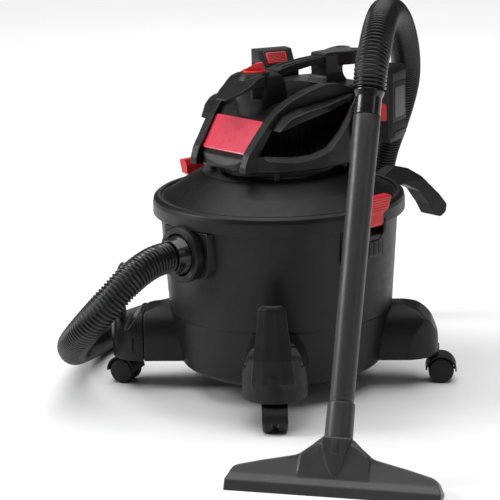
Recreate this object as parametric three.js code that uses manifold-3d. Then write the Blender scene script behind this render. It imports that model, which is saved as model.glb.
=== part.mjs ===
// Cordless wet and dry drum vacuum with its hose, wand and floor nozzle.
// Units are millimetres. +Z is up, the casters stand on z = 0, the front (hose inlet) faces -Y.
// Inside the model, x = y = 0 is the drum's axis. The outer group moves the drum forward, so that the
// origin ends up in the middle of the footprint of everything but the hose and what is on it.
import * as THREE from 'three';
import { mergeVertices } from 'three/addons/utils/BufferGeometryUtils.js';
import Module from 'manifold-3d';

const wasm = await Module();
wasm.setup();

// ---------------------------------------------------------------- driving dimensions
const GAP = 0.3;                 // air between pieces that touch
const ROUND = 40;                // sides of the drum and the lid
const WALL = 3;                  // moulded wall thickness
const DRUM_TO_CENTRE = -72.85;    // where the drum's axis sits along Y in the part's frame

const DRUM_RIM_R = 184;          // outside radius just under the lid
const DRUM_FOOT_R = 161;         // outside radius above the bottom edge
const DRUM_BOTTOM = 33;          // underside of the drum
const DRUM_TOP = 296;            // top edge of the drum wall
const STEP_Z = 128;              // small step round the drum

const LID_R = 195;               // outside radius of the lid's band
const LID_BAND_Z = 281;          // lower edge of the band
const NECK_R = 88.5;             // neck that carries the motor cover
const NECK_TOP = 359;

const ARM_ANGLES = { front_right: -45, front_left: -135, rear_right: 45, rear_left: 135 };
const ARM_TIP_R = 246;           // how far the rear arms reach
const CAP_SEAM_R = 214;          // where the front arms end and the foot caps start
const CAP_TIP_R = 268;           // how far the foot caps reach
const FOOT_HALF = 49;            // half the width of an arm or a foot cap
const FOOT_BOTTOM = 47;          // underside of the arms and caps, clear of the turning casters

const CASTER_R = 237;            // swivel axes, from the drum's axis
const WHEEL_R = 20;
const WHEEL_W = 14;
const WHEEL_SPREAD = 5;          // from the caster's middle to a wheel's inner face
const TRAIL = 13;                // axle behind the swivel axis
const CASTER_YAW = { front_right: 139, front_left: 23, rear_right: 225, rear_left: 200 };

const INLET_Z = 243;
const INLET_BORE_R = 31;
const COLLAR_FRONT = -205;       // front face of the inlet collar, along Y
const CUFF_FRONT = -222;         // where the hose leaves its cuff, along Y
const HOSE_R = 24;

const COVER_Z = 360;             // lower edge of the motor cover
const PACK_SIZE = [50, 58, 106]; // thickness, width, height of a battery pack
const PACK_PLACE = [126.5, 106.5, 398];
const PACK_YAW = 20.4;           // the packs' outer faces look a little to the rear

const LATCH_Y = 5;
const LATCH_PIVOT = [204.5, 289];// x and z of the latch pin

const WAND_TOP = new THREE.Vector3(280, -76, 508);
const WAND_FOOT = new THREE.Vector3(418.4, -286.4, 0);
const LIP_DIRECTION = new THREE.Vector3(0.8305, 0.557, 0);
const NOZZLE_HALF = 150;         // half the floor nozzle's width

// The hose's centre line, from its cuff at the drum to its cuff at the wand.
const HOSE_ROUTE = [
  [0, CUFF_FRONT - 2, INLET_Z], [0, -250, 241], [0, -277, 233], [-2, -302, 219], [-9, -323, 199],
  [-22, -338, 177], [-46, -345, 151], [-80, -338, 125], [-120, -318, 102], [-164, -286, 80],
  [-210, -248, 60], [-254, -205, 44], [-294, -158, 32], [-326, -108, 26], [-350, -58, 25],
  [-366, -6, 25], [-372, 46, 25], [-368, 100, 25], [-354, 152, 25], [-330, 202, 25],
  [-297, 246, 25], [-257, 284, 26], [-214, 312, 36], [-180, 326, 60], [-156, 333, 92],
  [-141, 334, 126], [-131, 334, 170], [-123, 332, 220], [-112, 330, 268], [-95, 327, 314],
  [-72, 324, 358], [-50, 319, 400], [-29, 309, 440], [-7, 288, 478], [17, 259, 511],
  [45, 222, 543], [80, 176, 567], [118, 128, 581], [160, 76, 589], [200, 30, 590],
  [235, -12, 581], [257, -41, 563], [272.7, -65, 535], [280, -76, 508],
];

// ---------------------------------------------------------------- helpers
const BLACK = { color: 0x26272a, roughness: 0.55, metalness: 0.0 };
const DARK = { color: 0x161719, roughness: 0.7, metalness: 0.0 };
const GREY = { color: 0x3b3c3f, roughness: 0.5, metalness: 0.0 };
const RED = { color: 0xd42230, roughness: 0.4, metalness: 0.0 };
const PANEL_RED = { color: 0xe8405c, roughness: 0.35, metalness: 0.0 };
const RUBBER = { color: 0x1a1a1b, roughness: 0.9, metalness: 0.0 };
const PAPER = { color: 0xd8d4c8, roughness: 0.95, metalness: 0.0 };
const STEEL = { color: 0xb0b3b6, roughness: 0.35, metalness: 1.0 };
const BOARD = { color: 0x1f5a38, roughness: 0.6, metalness: 0.0 };

const model = new THREE.Group();
model.position.y = DRUM_TO_CENTRE;

// A closed geometry as a solid that can be cut and joined, whichever way its faces were wound.
function solid(geometry) {
  const bare = geometry.clone();
  bare.deleteAttribute('normal');
  bare.deleteAttribute('uv');
  const merged = mergeVertices(bare, 1e-4);
  const p = merged.attributes.position;
  const index = merged.index.array;
  const triangles = [];
  let volume = 0;
  for (let i = 0; i < index.length; i += 3) {
    const [a, b, c] = [index[i], index[i + 1], index[i + 2]];
    if (a === b || b === c || c === a) continue;
    triangles.push([a, b, c]);
    const [va, vb, vc] = [a, b, c].map((k) => new THREE.Vector3().fromBufferAttribute(p, k));
    volume += va.dot(vb.cross(vc));
  }
  if (volume < 0) triangles.forEach((t) => t.reverse());
  return new wasm.Manifold(new wasm.Mesh({
    numProp: 3,
    vertProperties: Float32Array.from(p.array),
    triVerts: Uint32Array.from(triangles.flat()),
  }));
}

// A solid as a named mesh, added to the model or to a group inside it.
function add(name, shape, look, parent = model) {
  const data = shape.getMesh();
  const geometry = new THREE.BufferGeometry();
  geometry.setAttribute('position', new THREE.BufferAttribute(Float32Array.from(data.vertProperties), 3));
  geometry.setIndex([...data.triVerts]);
  geometry.computeVertexNormals();
  const mesh = new THREE.Mesh(geometry, new THREE.MeshStandardMaterial(look));
  mesh.name = name;
  parent.add(mesh);
  return mesh;
}

function outline(points) {
  return points instanceof THREE.Shape ? points : new THREE.Shape(points.map(([a, b]) => new THREE.Vector2(a, b)));
}

function prism(points, length, curveSegments = 6) {
  return new THREE.ExtrudeGeometry(outline(points), { depth: length, bevelEnabled: false, curveSegments });
}

// Outline in (x, y), from z = low to z = high.
function planPrism(points, low, high) {
  return solid(prism(points, high - low).translate(0, 0, low));
}

// Outline in (y, z), from x = low to x = high.
function sidePrism(points, low, high) {
  const turn = new THREE.Matrix4().makeBasis(
    new THREE.Vector3(0, 1, 0), new THREE.Vector3(0, 0, 1), new THREE.Vector3(1, 0, 0));
  return solid(prism(points, high - low).applyMatrix4(turn).translate(low, 0, 0));
}

// Outline in (x, z), from y = low to y = high.
function frontPrism(points, low, high) {
  const turn = new THREE.Matrix4().makeBasis(
    new THREE.Vector3(1, 0, 0), new THREE.Vector3(0, 0, 1), new THREE.Vector3(0, -1, 0));
  return solid(prism(points, high - low).applyMatrix4(turn).translate(0, high, 0));
}

function box(x0, x1, y0, y1, z0, z1) {
  const geometry = new THREE.BoxGeometry(x1 - x0, y1 - y0, z1 - z0);
  return solid(geometry.translate((x0 + x1) / 2, (y0 + y1) / 2, (z0 + z1) / 2));
}

// A profile in (radius, z) turned about the Z axis. It starts and ends on the axis, or closes on itself.
function turned(profile, sides = ROUND) {
  const closed = profile[0][0] > 0 ? [...profile, profile[0]] : profile;
  const points = closed.map(([r, z]) => new THREE.Vector2(r, z));
  return solid(new THREE.LatheGeometry(points, sides).rotateX(Math.PI / 2));
}

// A cylinder along Z, from z = low to z = high.
function rod(radius, low, high, sides = 20, topRadius = radius) {
  const geometry = new THREE.CylinderGeometry(topRadius, radius, high - low, sides);
  return solid(geometry.rotateX(Math.PI / 2).translate(0, 0, (low + high) / 2));
}

// A cylinder along Y.
function rodY(radius, low, high, sides = 20) {
  return rod(radius, low, high, sides).rotate([-90, 0, 0]);
}

// The same points again on the other side of the first axis, for outlines that are symmetric.
function mirrored(half) {
  const others = half.filter(([a]) => a !== 0).map(([a, b]) => [-a, b]).reverse();
  return [...half, ...others];
}

// ---------------------------------------------------------------- drum with its four arms
function drumBody(grow) {
  return turned([
    [0, DRUM_BOTTOM - grow], [136, DRUM_BOTTOM - grow], [149 + grow, 37], [157.5 + grow, 46],
    [DRUM_FOOT_R + grow, 60], [171.5 + grow, STEP_Z - 2], [174 + grow, STEP_Z + 1],
    [DRUM_RIM_R + grow, 281], [DRUM_RIM_R + grow, DRUM_TOP], [0, DRUM_TOP],
  ]);
}

function drumInside() {
  return turned([
    [0, DRUM_BOTTOM + WALL], [135, DRUM_BOTTOM + WALL], [147, 39.5], [154.5, 48], [158, 60],
    [168.5, STEP_Z], [171, STEP_Z + 3], [181, 281], [181, DRUM_TOP + 1], [0, DRUM_TOP + 1],
  ]);
}

// A foot seen from above, along +X: straight sides that close in a half circle round the tip.
function footPlan(tip, inset) {
  const half = FOOT_HALF - inset;
  const plan = new THREE.Shape();
  plan.moveTo(130, -half);
  plan.lineTo(tip - FOOT_HALF, -half);
  plan.absarc(tip - FOOT_HALF, 0, half, -Math.PI / 2, Math.PI / 2, false);
  plan.lineTo(130, half);
  return planPrism(plan, 0, 200);
}

// A foot seen along its length: the given top, then shoulders that round down to upright sides.
function footSection(top, inset) {
  const half = mirrored([...top, [35, 121 - inset], [41 - inset, 106], [FOOT_HALF - inset - 2, 84],
    [FOOT_HALF - inset, 62], [FOOT_HALF - inset, 10]]);
  const across = new THREE.Matrix4().makeBasis(
    new THREE.Vector3(0, 1, 0), new THREE.Vector3(0, 0, 1), new THREE.Vector3(1, 0, 0));
  return solid(prism(half, 150).applyMatrix4(across).translate(125, 0, 0));
}

// An arm along +X, from inside the drum's wall to its end. inset > 0 gives the hollow, open below.
function arm(tip, end, inset) {
  const low = inset > 0 ? -20 : 0;
  const rise = [[140, 136], [172, 133], [191, 130], [214, 122], [235, 103], [244, 82], [ARM_TIP_R, 60],
    [ARM_TIP_R, FOOT_BOTTOM]];
  const side = [[140, FOOT_BOTTOM + low], ...rise.map(([r, z]) => [r - inset, z - inset]).reverse()];
  return frontPrism(side, -80, 80)
    .intersect(footPlan(tip, inset))
    .intersect(footSection([[0, 136 - inset], [24, 131 - inset]], inset))
    .intersect(box(100, end - inset, -80, 80, 0, 150));
}

function casterBoss(top) {
  return rod(10, FOOT_BOTTOM, top, 16).translate([CASTER_R, 0, 0]);
}

function drumArm(where) {
  const front = where.startsWith('front');
  const tip = front ? CAP_TIP_R : ARM_TIP_R;
  const end = front ? CAP_SEAM_R : ARM_TIP_R;
  let shape = arm(tip, end, 0).subtract(arm(tip, end, WALL));
  if (!front) shape = shape.add(casterBoss(100)).subtract(rod(5.6, 40, 78, 16).translate([CASTER_R, 0, 0]));
  return shape.rotate([0, 0, ARM_ANGLES[where]]);
}

// Raised grip with two ears for a latch, on the +X side.
function latchSeat() {
  const grip = turned([[172, 229], [186, 229], [187.5, 234], [187.5, 279.5], [172, 279.5]])
    .intersect(box(100, 200, LATCH_Y - 45, LATCH_Y + 45, 200, 300));
  const ear = [[184, 252], [203, 262], [211, 274], [211, 291], [207, 296], [200, 296], [196.5, 291], [196.5, 279], [184, 279]];
  const ears = frontPrism(ear, LATCH_Y - 19, LATCH_Y - 13.5).add(frontPrism(ear, LATCH_Y + 13.5, LATCH_Y + 19));
  const bridge = frontPrism([[184, 254], [203, 263], [208, 272], [184, 274]], LATCH_Y - 16, LATCH_Y + 16);
  const pinHole = rodY(2.8, LATCH_Y - 30, LATCH_Y + 30, 12).translate([LATCH_PIVOT[0], 0, LATCH_PIVOT[1]]);
  return grip.add(ears).add(bridge).subtract(pinHole);
}

function buildDrum() {
  let shape = drumBody(0);
  for (const where of Object.keys(ARM_ANGLES)) shape = shape.add(drumArm(where));
  shape = shape.add(latchSeat()).add(latchSeat().mirror([1, 0, 0]));
  shape = shape.subtract(drumInside());
  shape = shape.subtract(rodY(35.6, -200, -150, 32).translate([0, 0, INLET_Z]));
  add('tank', shape, BLACK);
}

// A foot cap along +X: it closes a front arm, holds the caster and carries the tall tool post.
function footCap(inset) {
  const low = inset > 0 ? -20 : 0;
  const start = CAP_SEAM_R + GAP + (inset > 0 ? -10 : 0);
  const profile = [
    [start, FOOT_BOTTOM + low], [CAP_TIP_R - inset, FOOT_BOTTOM + low], [CAP_TIP_R - inset, 94],
    [262 - inset, 135 - inset], [255 - inset, 191 - inset], [246 + inset, 191 - inset], [249 + inset, 111],
    [244, 96 - inset], [236, 99 - inset], [228, 112 - inset], [CAP_SEAM_R + 6, 121 - inset], [start, 122 - inset],
  ];
  const post = [[0, 193 - inset], [12 - inset, 192 - inset], [15 - inset, 187 - inset], [25 - inset, 124]];
  return frontPrism(profile, -60, 60).intersect(footPlan(CAP_TIP_R, inset)).intersect(footSection(post, inset));
}

function buildFootCap(where) {
  const outside = footCap(0).subtract(rod(5.6, 40, 78, 16).translate([CASTER_R, 0, 0]));
  const hollow = footCap(WALL).subtract(box(228, 246, -10, 10, 20, 200)).subtract(box(243, 300, -60, 60, 108, 200));
  const shape = outside.subtract(hollow).rotate([0, 0, ARM_ANGLES[where]]);
  add(`foot_cap_${where.slice(6)}`, shape, BLACK);
}

// ---------------------------------------------------------------- casters
// The fork stands on the swivel axis at x = y = 0; the axle lies behind it, towards -X, along Y.
function casterFork() {
  const stem = rod(5, 41, 74, 12);
  const plate = rod(13, 41, 44.5, 14);
  const arc = (radius) => [10, 44, 78, 112, 146, 180].map((degrees) => {
    const a = degrees * Math.PI / 180;
    return [-TRAIL + radius * Math.cos(a), WHEEL_R + radius * Math.sin(a)];
  });
  const hood = arc(WHEEL_R + 4.5);
  const under = arc(WHEEL_R + 2.2).reverse();
  const cover = frontPrism([...hood, ...under], -19, 19);
  const web = frontPrism([[-TRAIL - 21, WHEEL_R], [-TRAIL - 12, WHEEL_R + 19], [-TRAIL, 42], [6, 42], [9, WHEEL_R + 4],
    [-TRAIL + 6, WHEEL_R - 8], [-TRAIL - 6, WHEEL_R - 8]], -WHEEL_SPREAD + 0.8, WHEEL_SPREAD - 0.8);
  const axleHole = rodY(3.6, -30, 30, 12).translate([-TRAIL, 0, WHEEL_R]);
  return cover.add(web).add(plate).add(stem).subtract(axleHole);
}

function casterWheels() {
  const outer = WHEEL_SPREAD + WHEEL_W;
  const pair = rodY(WHEEL_R, WHEEL_SPREAD, outer, 24).add(rodY(WHEEL_R, -outer, -WHEEL_SPREAD, 24));
  return pair.add(rodY(3, -WHEEL_SPREAD - 2, WHEEL_SPREAD + 2, 10));
}

function buildCaster(where) {
  const angle = ARM_ANGLES[where] * Math.PI / 180;
  const group = new THREE.Group();
  group.position.set(CASTER_R * Math.cos(angle), CASTER_R * Math.sin(angle), 0);
  group.rotation.z = CASTER_YAW[where] * Math.PI / 180;
  model.add(group);
  add(`caster_fork_${where}`, casterFork(), DARK, group);
  const wheels = add(`caster_wheels_${where}`, casterWheels(), BLACK, group);
  wheels.position.set(-TRAIL, 0, WHEEL_R);
}

// ---------------------------------------------------------------- inlet
function buildInlet() {
  const pad = new THREE.Shape();
  pad.moveTo(-50, 279);
  pad.lineTo(-50, 240);
  pad.absarc(-20, 235, 30, Math.PI, 1.5 * Math.PI, false);
  pad.absarc(20, 235, 30, 1.5 * Math.PI, 2 * Math.PI, false);
  pad.lineTo(50, 279);
  const plate = frontPrism(pad, -189, -150).subtract(drumBody(GAP));
  const underLid = turned([[150, LID_BAND_Z - GAP], [LID_R + GAP, LID_BAND_Z - GAP], [LID_R + GAP, 320], [150, 320]]);
  const collar = rodY(43, COLLAR_FRONT, -180, 32).translate([0, 0, INLET_Z]).subtract(drumBody(GAP)).subtract(underLid);
  const spigot = rodY(35, -190, -168, 32).translate([0, 0, INLET_Z]);
  const bore = rodY(INLET_BORE_R, -230, -140, 32).translate([0, 0, INLET_Z]);
  add('inlet_port', plate.add(collar).add(spigot).subtract(bore), BLACK);

  const hood = rodY(39.5, -169, -126, 24).subtract(rodY(36, -175, -129, 24)).translate([0, 0, INLET_Z]);
  const sideCut = box(-60, -6, -161, -132, INLET_Z - 30, INLET_Z + 60);
  add('inlet_deflector', hood.subtract(sideCut), DARK);
}

// ---------------------------------------------------------------- lid
function buildLid() {
  let lid = turned([
    [LID_R, LID_BAND_Z], [LID_R, 300], [192.5, 306.5], [187, 310], [182.5, 309], [180, 306], [176, 307.5],
    [150, 326], [122, 342.5], [117, 344.5], [91, 345], [NECK_R, 347], [NECK_R, NECK_TOP], [84, NECK_TOP],
    [84, 342], [116, 341], [120, 339.5], [148, 323], [174, 304.3], [181, 302.5], [189.5, 302],
    [190.3, 298], [190.3, LID_BAND_Z],
  ]);
  for (const a of [-135, -43, 43, 135]) {
    lid = lid.add(rod(6, 343, COVER_Z - 0.6, 14).translate([100, 0, 0]).rotate([0, 0, a]));
  }
  add('lid', lid, BLACK);
  add('lid_seal', turned([[178.5, 296.4], [187, 296.4], [187, 301.7], [183, 301.7]], 32), RUBBER);
  const platePoints = [[50, 297], [172, 297], [172, 300], [70, 300], [68, 305.6], [62, 305.6], [60, 300], [50, 300]];
  add('motor_plate', turned(platePoints, 32), DARK);
}

// ---------------------------------------------------------------- motor cover
// The cover's outside as a filled block; grow > 0 makes it larger, for cutting what sits on it.
function coverBlock(grow) {
  const g = grow;
  const side = [
    [-117 - g, COVER_Z - Math.max(g, 0)], [-119 - g, 367], [-112 - g, 380 + g], [-107 - g, 384 + g], [-70 - g, 431 + g],
    [-60, 442 + g], [-40, 450 + g], [0, 457 + g], [50, 463 + g], [100, 467 + g], [140, 466 + g], [163, 455 + g],
    [172 + g, 435], [175 + g, 400], [171 + g, COVER_Z - Math.max(g, 0)],
  ];
  if (g < 0) {
    side[0][1] = COVER_Z - 10;
    side[14][1] = COVER_Z - 10;
  }
  const plan = mirrored([
    [0, -119 - g], [36 + g, -116 - g], [60 + g, -106 - g], [88 + g, -82 - g], [108 + g, -44], [116 + g, 0], [117 + g, 40],
    [112 + g, 58 + g], [92 + g, 70 + g], [80 + g, 84], [77 + g, 120], [68 + g, 150], [48, 168 + g], [0, 175 + g],
  ]);
  const front = mirrored([[0, 480], [88, 480], [108 + g, 466 + g], [117 + g, 452], [117 + g, 378], [108 + g, 340], [0, 340]]);
  return sidePrism(side, -130, 130).intersect(planPrism(plan, 340, 500)).intersect(frontPrism(front, -140, 190));
}

const EYE = [[-95, 386], [-83, 421], [-45, 436], [8, 449], [50, 457], [66, 459], [48, 445], [17, 412], [-8, 391], [-30, 384], [-60, 382]];

function buildCover() {
  let shape = coverBlock(0).subtract(coverBlock(-WALL));
  shape = shape.subtract(sidePrism(EYE, 75, 130)).subtract(sidePrism(EYE, -130, -75));
  add('motor_cover', shape, BLACK);
  add('motor_shroud', turned([
    [0, 434], [60, 434], [62, 430], [62, 361], [59, 361], [59, 429], [0, 431],
  ], 32), DARK);

  const n = new THREE.Vector2(-0.786, 0.618);
  const panel = [[-107, 384.5], [-107 + 3.4 * n.x, 384.5 + 3.4 * n.y], [-71 + 3.4 * n.x, 430 + 3.4 * n.y], [-71, 430]];
  const taper = mirrored([[0, 340], [48.5, 340], [48.5, 384], [55, 431], [55, 460], [0, 460]]);
  add('front_panel', sidePrism(panel, -56, 56).intersect(frontPrism(taper, -130, -50)).subtract(coverBlock(GAP)), PANEL_RED);

  const band = [[-123, 361], [-123, 370], [-116, 388], [-80, 433], [-66, 448], [-42, 463], [-14, 474], [18, 482.5],
    [42, 480], [66, 472], [66, 440], [-60, 400], [-100, 361]];
  const strip = [[49.5, -130], [49.5, -108], [56.5, -72], [66, -14], [76, 30], [80, 70], [98, 70], [94, 26], [84, -20], [74, -66], [66, -104], [63, -130]];
  const right = sidePrism(band, 40, 110).intersect(planPrism(strip, 350, 500)).subtract(coverBlock(GAP));
  add('side_band_right', right, BLACK);
  add('side_band_left', right.mirror([1, 0, 0]), BLACK);
}

// ---------------------------------------------------------------- switch hub, dial, handle
function buildTop() {
  const hubSide = [[-60, 420], [-66, 438], [-76, 452], [-82, 468], [-80, 492], [-72, 501], [-62, 503.5], [-26, 503.5], [-14, 497], [-9, 480], [-8, 430]];
  const hubFront = mirrored([[0, 504], [15, 503], [23, 497], [28, 484], [29.5, 465], [30, 420], [0, 420]]);
  const hub = sidePrism(hubSide, -40, 40).intersect(frontPrism(hubFront, -100, 0));
  const beakSide = [[-113, 464], [-111, 470], [-80, 491], [-70, 491], [-70, 478], [-86, 472]];
  const beakPlan = mirrored([[0, -113], [16, -113], [29, -84], [29, -70], [0, -70]]);
  const beak = sidePrism(beakSide, -40, 40).intersect(planPrism(beakPlan, 440, 500));
  const well = rod(5.4, 490, 510, 16).translate([0, -46, 0]);
  add('switch_hub', hub.add(beak).subtract(coverBlock(GAP)).subtract(well), BLACK);

  const fin = sidePrism([[-63, 506], [-40, 517], [-30, 517], [-30, 506]], -4, 4);
  const dial = rod(18, 504, 508.5, 28).translate([0, -46, 0]).add(fin).add(rod(5, 492, 505, 16).translate([0, -46, 0]));
  add('power_dial', dial, RED);

  const barSide = [[-7.6, 493], [-7.6, 502], [20, 508.5], [60, 514], [87.6, 516], [87.6, 503], [60, 501.5], [20, 497], [0, 493]];
  const barFront = mirrored([[0, 540], [11, 540], [15, 500], [15, 480], [0, 480]]);
  const bar = sidePrism(barSide, -16, 16).intersect(frontPrism(barFront, -20, 100));
  add('handle_bar', bar.subtract(hub), BLACK);

  const postPlan = mirrored([[0, 88], [16, 88], [17, 92], [17, 118], [14, 124], [0, 124]]);
  const post = planPrism(postPlan, 455, 517).add(planPrism(mirrored([[0, 84], [21, 84], [22, 128], [0, 130]]), 455, 473));
  const lobes = new THREE.Shape();
  lobes.moveTo(-16, 112);
  lobes.lineTo(-27, 138);
  lobes.absarc(-17, 155, 14, Math.PI, 0.15 * Math.PI, true);
  lobes.absarc(17, 155, 14, 0.85 * Math.PI, 0, true);
  lobes.lineTo(27, 138);
  lobes.lineTo(16, 112);
  const hook = planPrism(lobes, 502, 511);
  add('rear_post', post.add(hook).subtract(coverBlock(GAP)), BLACK);
}

// ---------------------------------------------------------------- battery packs and docks
// Local frame of a pack: x is its thickness (outwards), y its width, z up from the shelf.
function packBody() {
  const [thick, width, height] = PACK_SIZE;
  const half = thick / 2;
  const profile = [[-half, 0], [half, 0], [half, height - 8], [half - 6, height], [-8, height], [-half, height - 26]];
  const corner = 5;
  const plan = mirrored([[0, -width / 2], [half - corner, -width / 2], [half, -width / 2 + corner],
    [half, width / 2 - corner], [half - corner, width / 2], [0, width / 2]]);
  return frontPrism(profile, -width / 2, width / 2).intersect(planPrism(plan, -1, height + 1));
}

// A slab on the pack's inner chamfer, from low to high along the chamfer's outward normal.
function chamferSlab(halfWidth, halfLength, low, high) {
  const lean = Math.atan2(17, 26) * 180 / Math.PI;
  const slab = box(-high, -low, -halfWidth, halfWidth, -halfLength, halfLength);
  return slab.rotate([0, lean, 0]).translate([-16.5, 0, PACK_SIZE[2] - 13]);
}

function packGroup(side) {
  const group = new THREE.Group();
  group.position.set(side * PACK_PLACE[0], PACK_PLACE[1], PACK_PLACE[2]);
  group.rotation.z = side * PACK_YAW * Math.PI / 180;
  model.add(group);
  return group;
}

function buildPacks() {
  for (const [name, side] of [['right', 1], ['left', -1]]) {
    const face = (shape) => (side > 0 ? shape : shape.mirror([1, 0, 0]));
    const group = packGroup(side);
    add(`battery_${name}`, face(packBody().subtract(chamferSlab(18, 11, -5, 8))), DARK, group);
    add(`battery_button_${name}`, face(chamferSlab(17.4, 10.4, -1.2, 2.2)), RED, group);

    const yaw = side * PACK_YAW;
    const back = box(-46, -25.8, -26, 26, 2, 78).add(box(-46, 20, -24, 24, -8, -0.6));
    const rib = box(-46, -20, -24, 24, -8, 3);
    const dock = face(back.add(rib.subtract(packBody().translate([0, 0, -0.4]))))
      .rotate([0, 0, yaw]).translate([side * PACK_PLACE[0], PACK_PLACE[1], PACK_PLACE[2]]);
    add(`battery_dock_${name}`, dock.subtract(coverBlock(GAP)), BLACK);
  }
}

// ---------------------------------------------------------------- inside the head
function buildInside() {
  add('motor', turned([[6, 344], [40, 344], [42, 347], [42, 422], [38, 426], [0, 426], [0, 362], [6, 362]], 20), STEEL);
  const discs = turned([[0, 313], [20, 313], [57, 315], [57, 317], [22, 317], [22, 331], [57, 333], [57, 335], [4, 337],
    [4, 358], [0, 358]], 20);
  add('impeller', discs, STEEL);
  add('impeller_housing', turned([[66, 306], [66, 342], [16, 342], [16, 339.5], [63, 339.5], [63, 309], [24, 309], [24, 306]], 20), DARK);
  add('control_board', box(-28, 28, 18, 66, 438, 440), BOARD);

  let cage = turned([[0, 150], [56, 150], [57, 153], [57, 290], [60, 292], [60, 296.6], [50, 296.6], [50, 292], [54, 288],
    [54, 154], [0, 154]], 20);
  for (let k = 0; k < 6; k += 1) {
    cage = cage.subtract(box(30, 70, -17, 17, 170, 276).rotate([0, 0, k * 60]));
  }
  add('filter_cage', cage, DARK);
  const ball = solid(new THREE.SphereGeometry(22, 16, 10).translate(0, 0, 177));
  add('float_ball', ball, GREY);

  const pleats = new THREE.Shape();
  const count = 36;
  for (let k = 0; k < 2 * count; k += 1) {
    const r = k % 2 ? 84 : 73;
    const a = k * Math.PI / count;
    if (k === 0) pleats.moveTo(r, 0);
    else pleats.lineTo(r * Math.cos(a), r * Math.sin(a));
  }
  pleats.closePath();
  pleats.holes.push(new THREE.Path().absarc(0, 0, 61.5, 0, 2 * Math.PI, true));
  add('filter', planPrism(pleats, 150.5, 291), PAPER);
  add('filter_retainer', turned([[0, 128], [12, 128], [14, 144], [84, 146], [84, 149.6], [0, 149.6]], 24), GREY);
}

// ---------------------------------------------------------------- latches
function latchShape() {
  const [px, pz] = LATCH_PIVOT;
  const shank = [[px - 5, pz - 5], [px + 4, pz - 6], [px + 7, pz], [px + 6.5, 310], [px - 5, 310]];
  const grip = [[px - 5.5, 307], [px + 8.5, 306], [px + 15, 330], [px + 1, 331], [px - 4, 322]];
  return frontPrism(shank, LATCH_Y - 12.8, LATCH_Y + 12.8)
    .add(frontPrism(grip, LATCH_Y - 22.5, LATCH_Y + 22.5))
    .subtract(rodY(3, LATCH_Y - 30, LATCH_Y + 30, 12).translate([px, 0, pz]));
}

function buildLatches() {
  const pin = rodY(2.4, LATCH_Y - 19, LATCH_Y + 19, 12).translate([LATCH_PIVOT[0], 0, LATCH_PIVOT[1]]);
  add('latch_right', latchShape(), RED);
  add('latch_left', latchShape().mirror([1, 0, 0]), RED);
  add('latch_pin_right', pin, STEEL);
  add('latch_pin_left', pin.mirror([1, 0, 0]), STEEL);
}

// ---------------------------------------------------------------- rear hook
function buildRearHook() {
  const bracket = frontPrism([[-30, 214], [-30, 276], [30, 276], [30, 214]], 150, 190).subtract(drumBody(GAP));
  const profile = [[186, 268], [200, 276], [222, 300], [246, 310], [275, 302], [303, 285], [341, 250], [360, 229],
    [357, 216], [345, 210], [332, 214], [318, 236], [296, 262], [262, 278], [240, 276], [222, 258], [206, 232], [186, 222]];
  const ridge = mirrored([[0, 330], [13, 330], [17, 250], [17, 190], [0, 190]]);
  const hook = sidePrism(profile, -20, 20).intersect(frontPrism(ridge, 180, 380));
  add('rear_hook', bracket.add(hook).subtract(drumBody(GAP)), BLACK);
}

// ---------------------------------------------------------------- hose, wand and floor nozzle
function wandFrame() {
  const up = WAND_TOP.clone().sub(WAND_FOOT).normalize();
  const across = LIP_DIRECTION.clone().addScaledVector(up, -LIP_DIRECTION.dot(up)).normalize();
  const back = up.clone().cross(across);
  return new THREE.Matrix4().makeBasis(across, back, up).setPosition(WAND_FOOT);
}

// A tube of the wand, from low to high above the floor along the wand's axis.
function wandTube(low, high, lowR, highR, boreR) {
  const outside = rod(lowR, low, high, 20, highR);
  return outside.subtract(rod(boreR, low - 1, high + 1, 20));
}

function inWandFrame(shape) {
  return shape.transform(wandFrame().elements);
}

function polygon(radius, sides) {
  const points = [];
  for (let k = 0; k < sides; k += 1) {
    const a = 2 * Math.PI * k / sides;
    points.push([radius * Math.cos(a), radius * Math.sin(a)]);
  }
  return points;
}

function buildHose() {
  const points = HOSE_ROUTE.map(([x, y, z]) => new THREE.Vector3(x, y, z));
  const path = new THREE.CatmullRomCurve3(points, false, 'centripetal');
  const ring = outline(polygon(HOSE_R, 10));
  ring.holes.push(new THREE.Path(polygon(HOSE_R - 4, 6).map(([x, y]) => new THREE.Vector2(x, y))));
  const geometry = new THREE.ExtrudeGeometry(ring, { steps: 50, extrudePath: path, bevelEnabled: false });
  add('hose', solid(geometry), BLACK);

  const plug = rodY(28, CUFF_FRONT, -186, 24).subtract(rodY(21, CUFF_FRONT - 5, -180, 24));
  add('hose_cuff_tank', plug.translate([0, 0, INLET_Z]), DARK);
}

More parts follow.
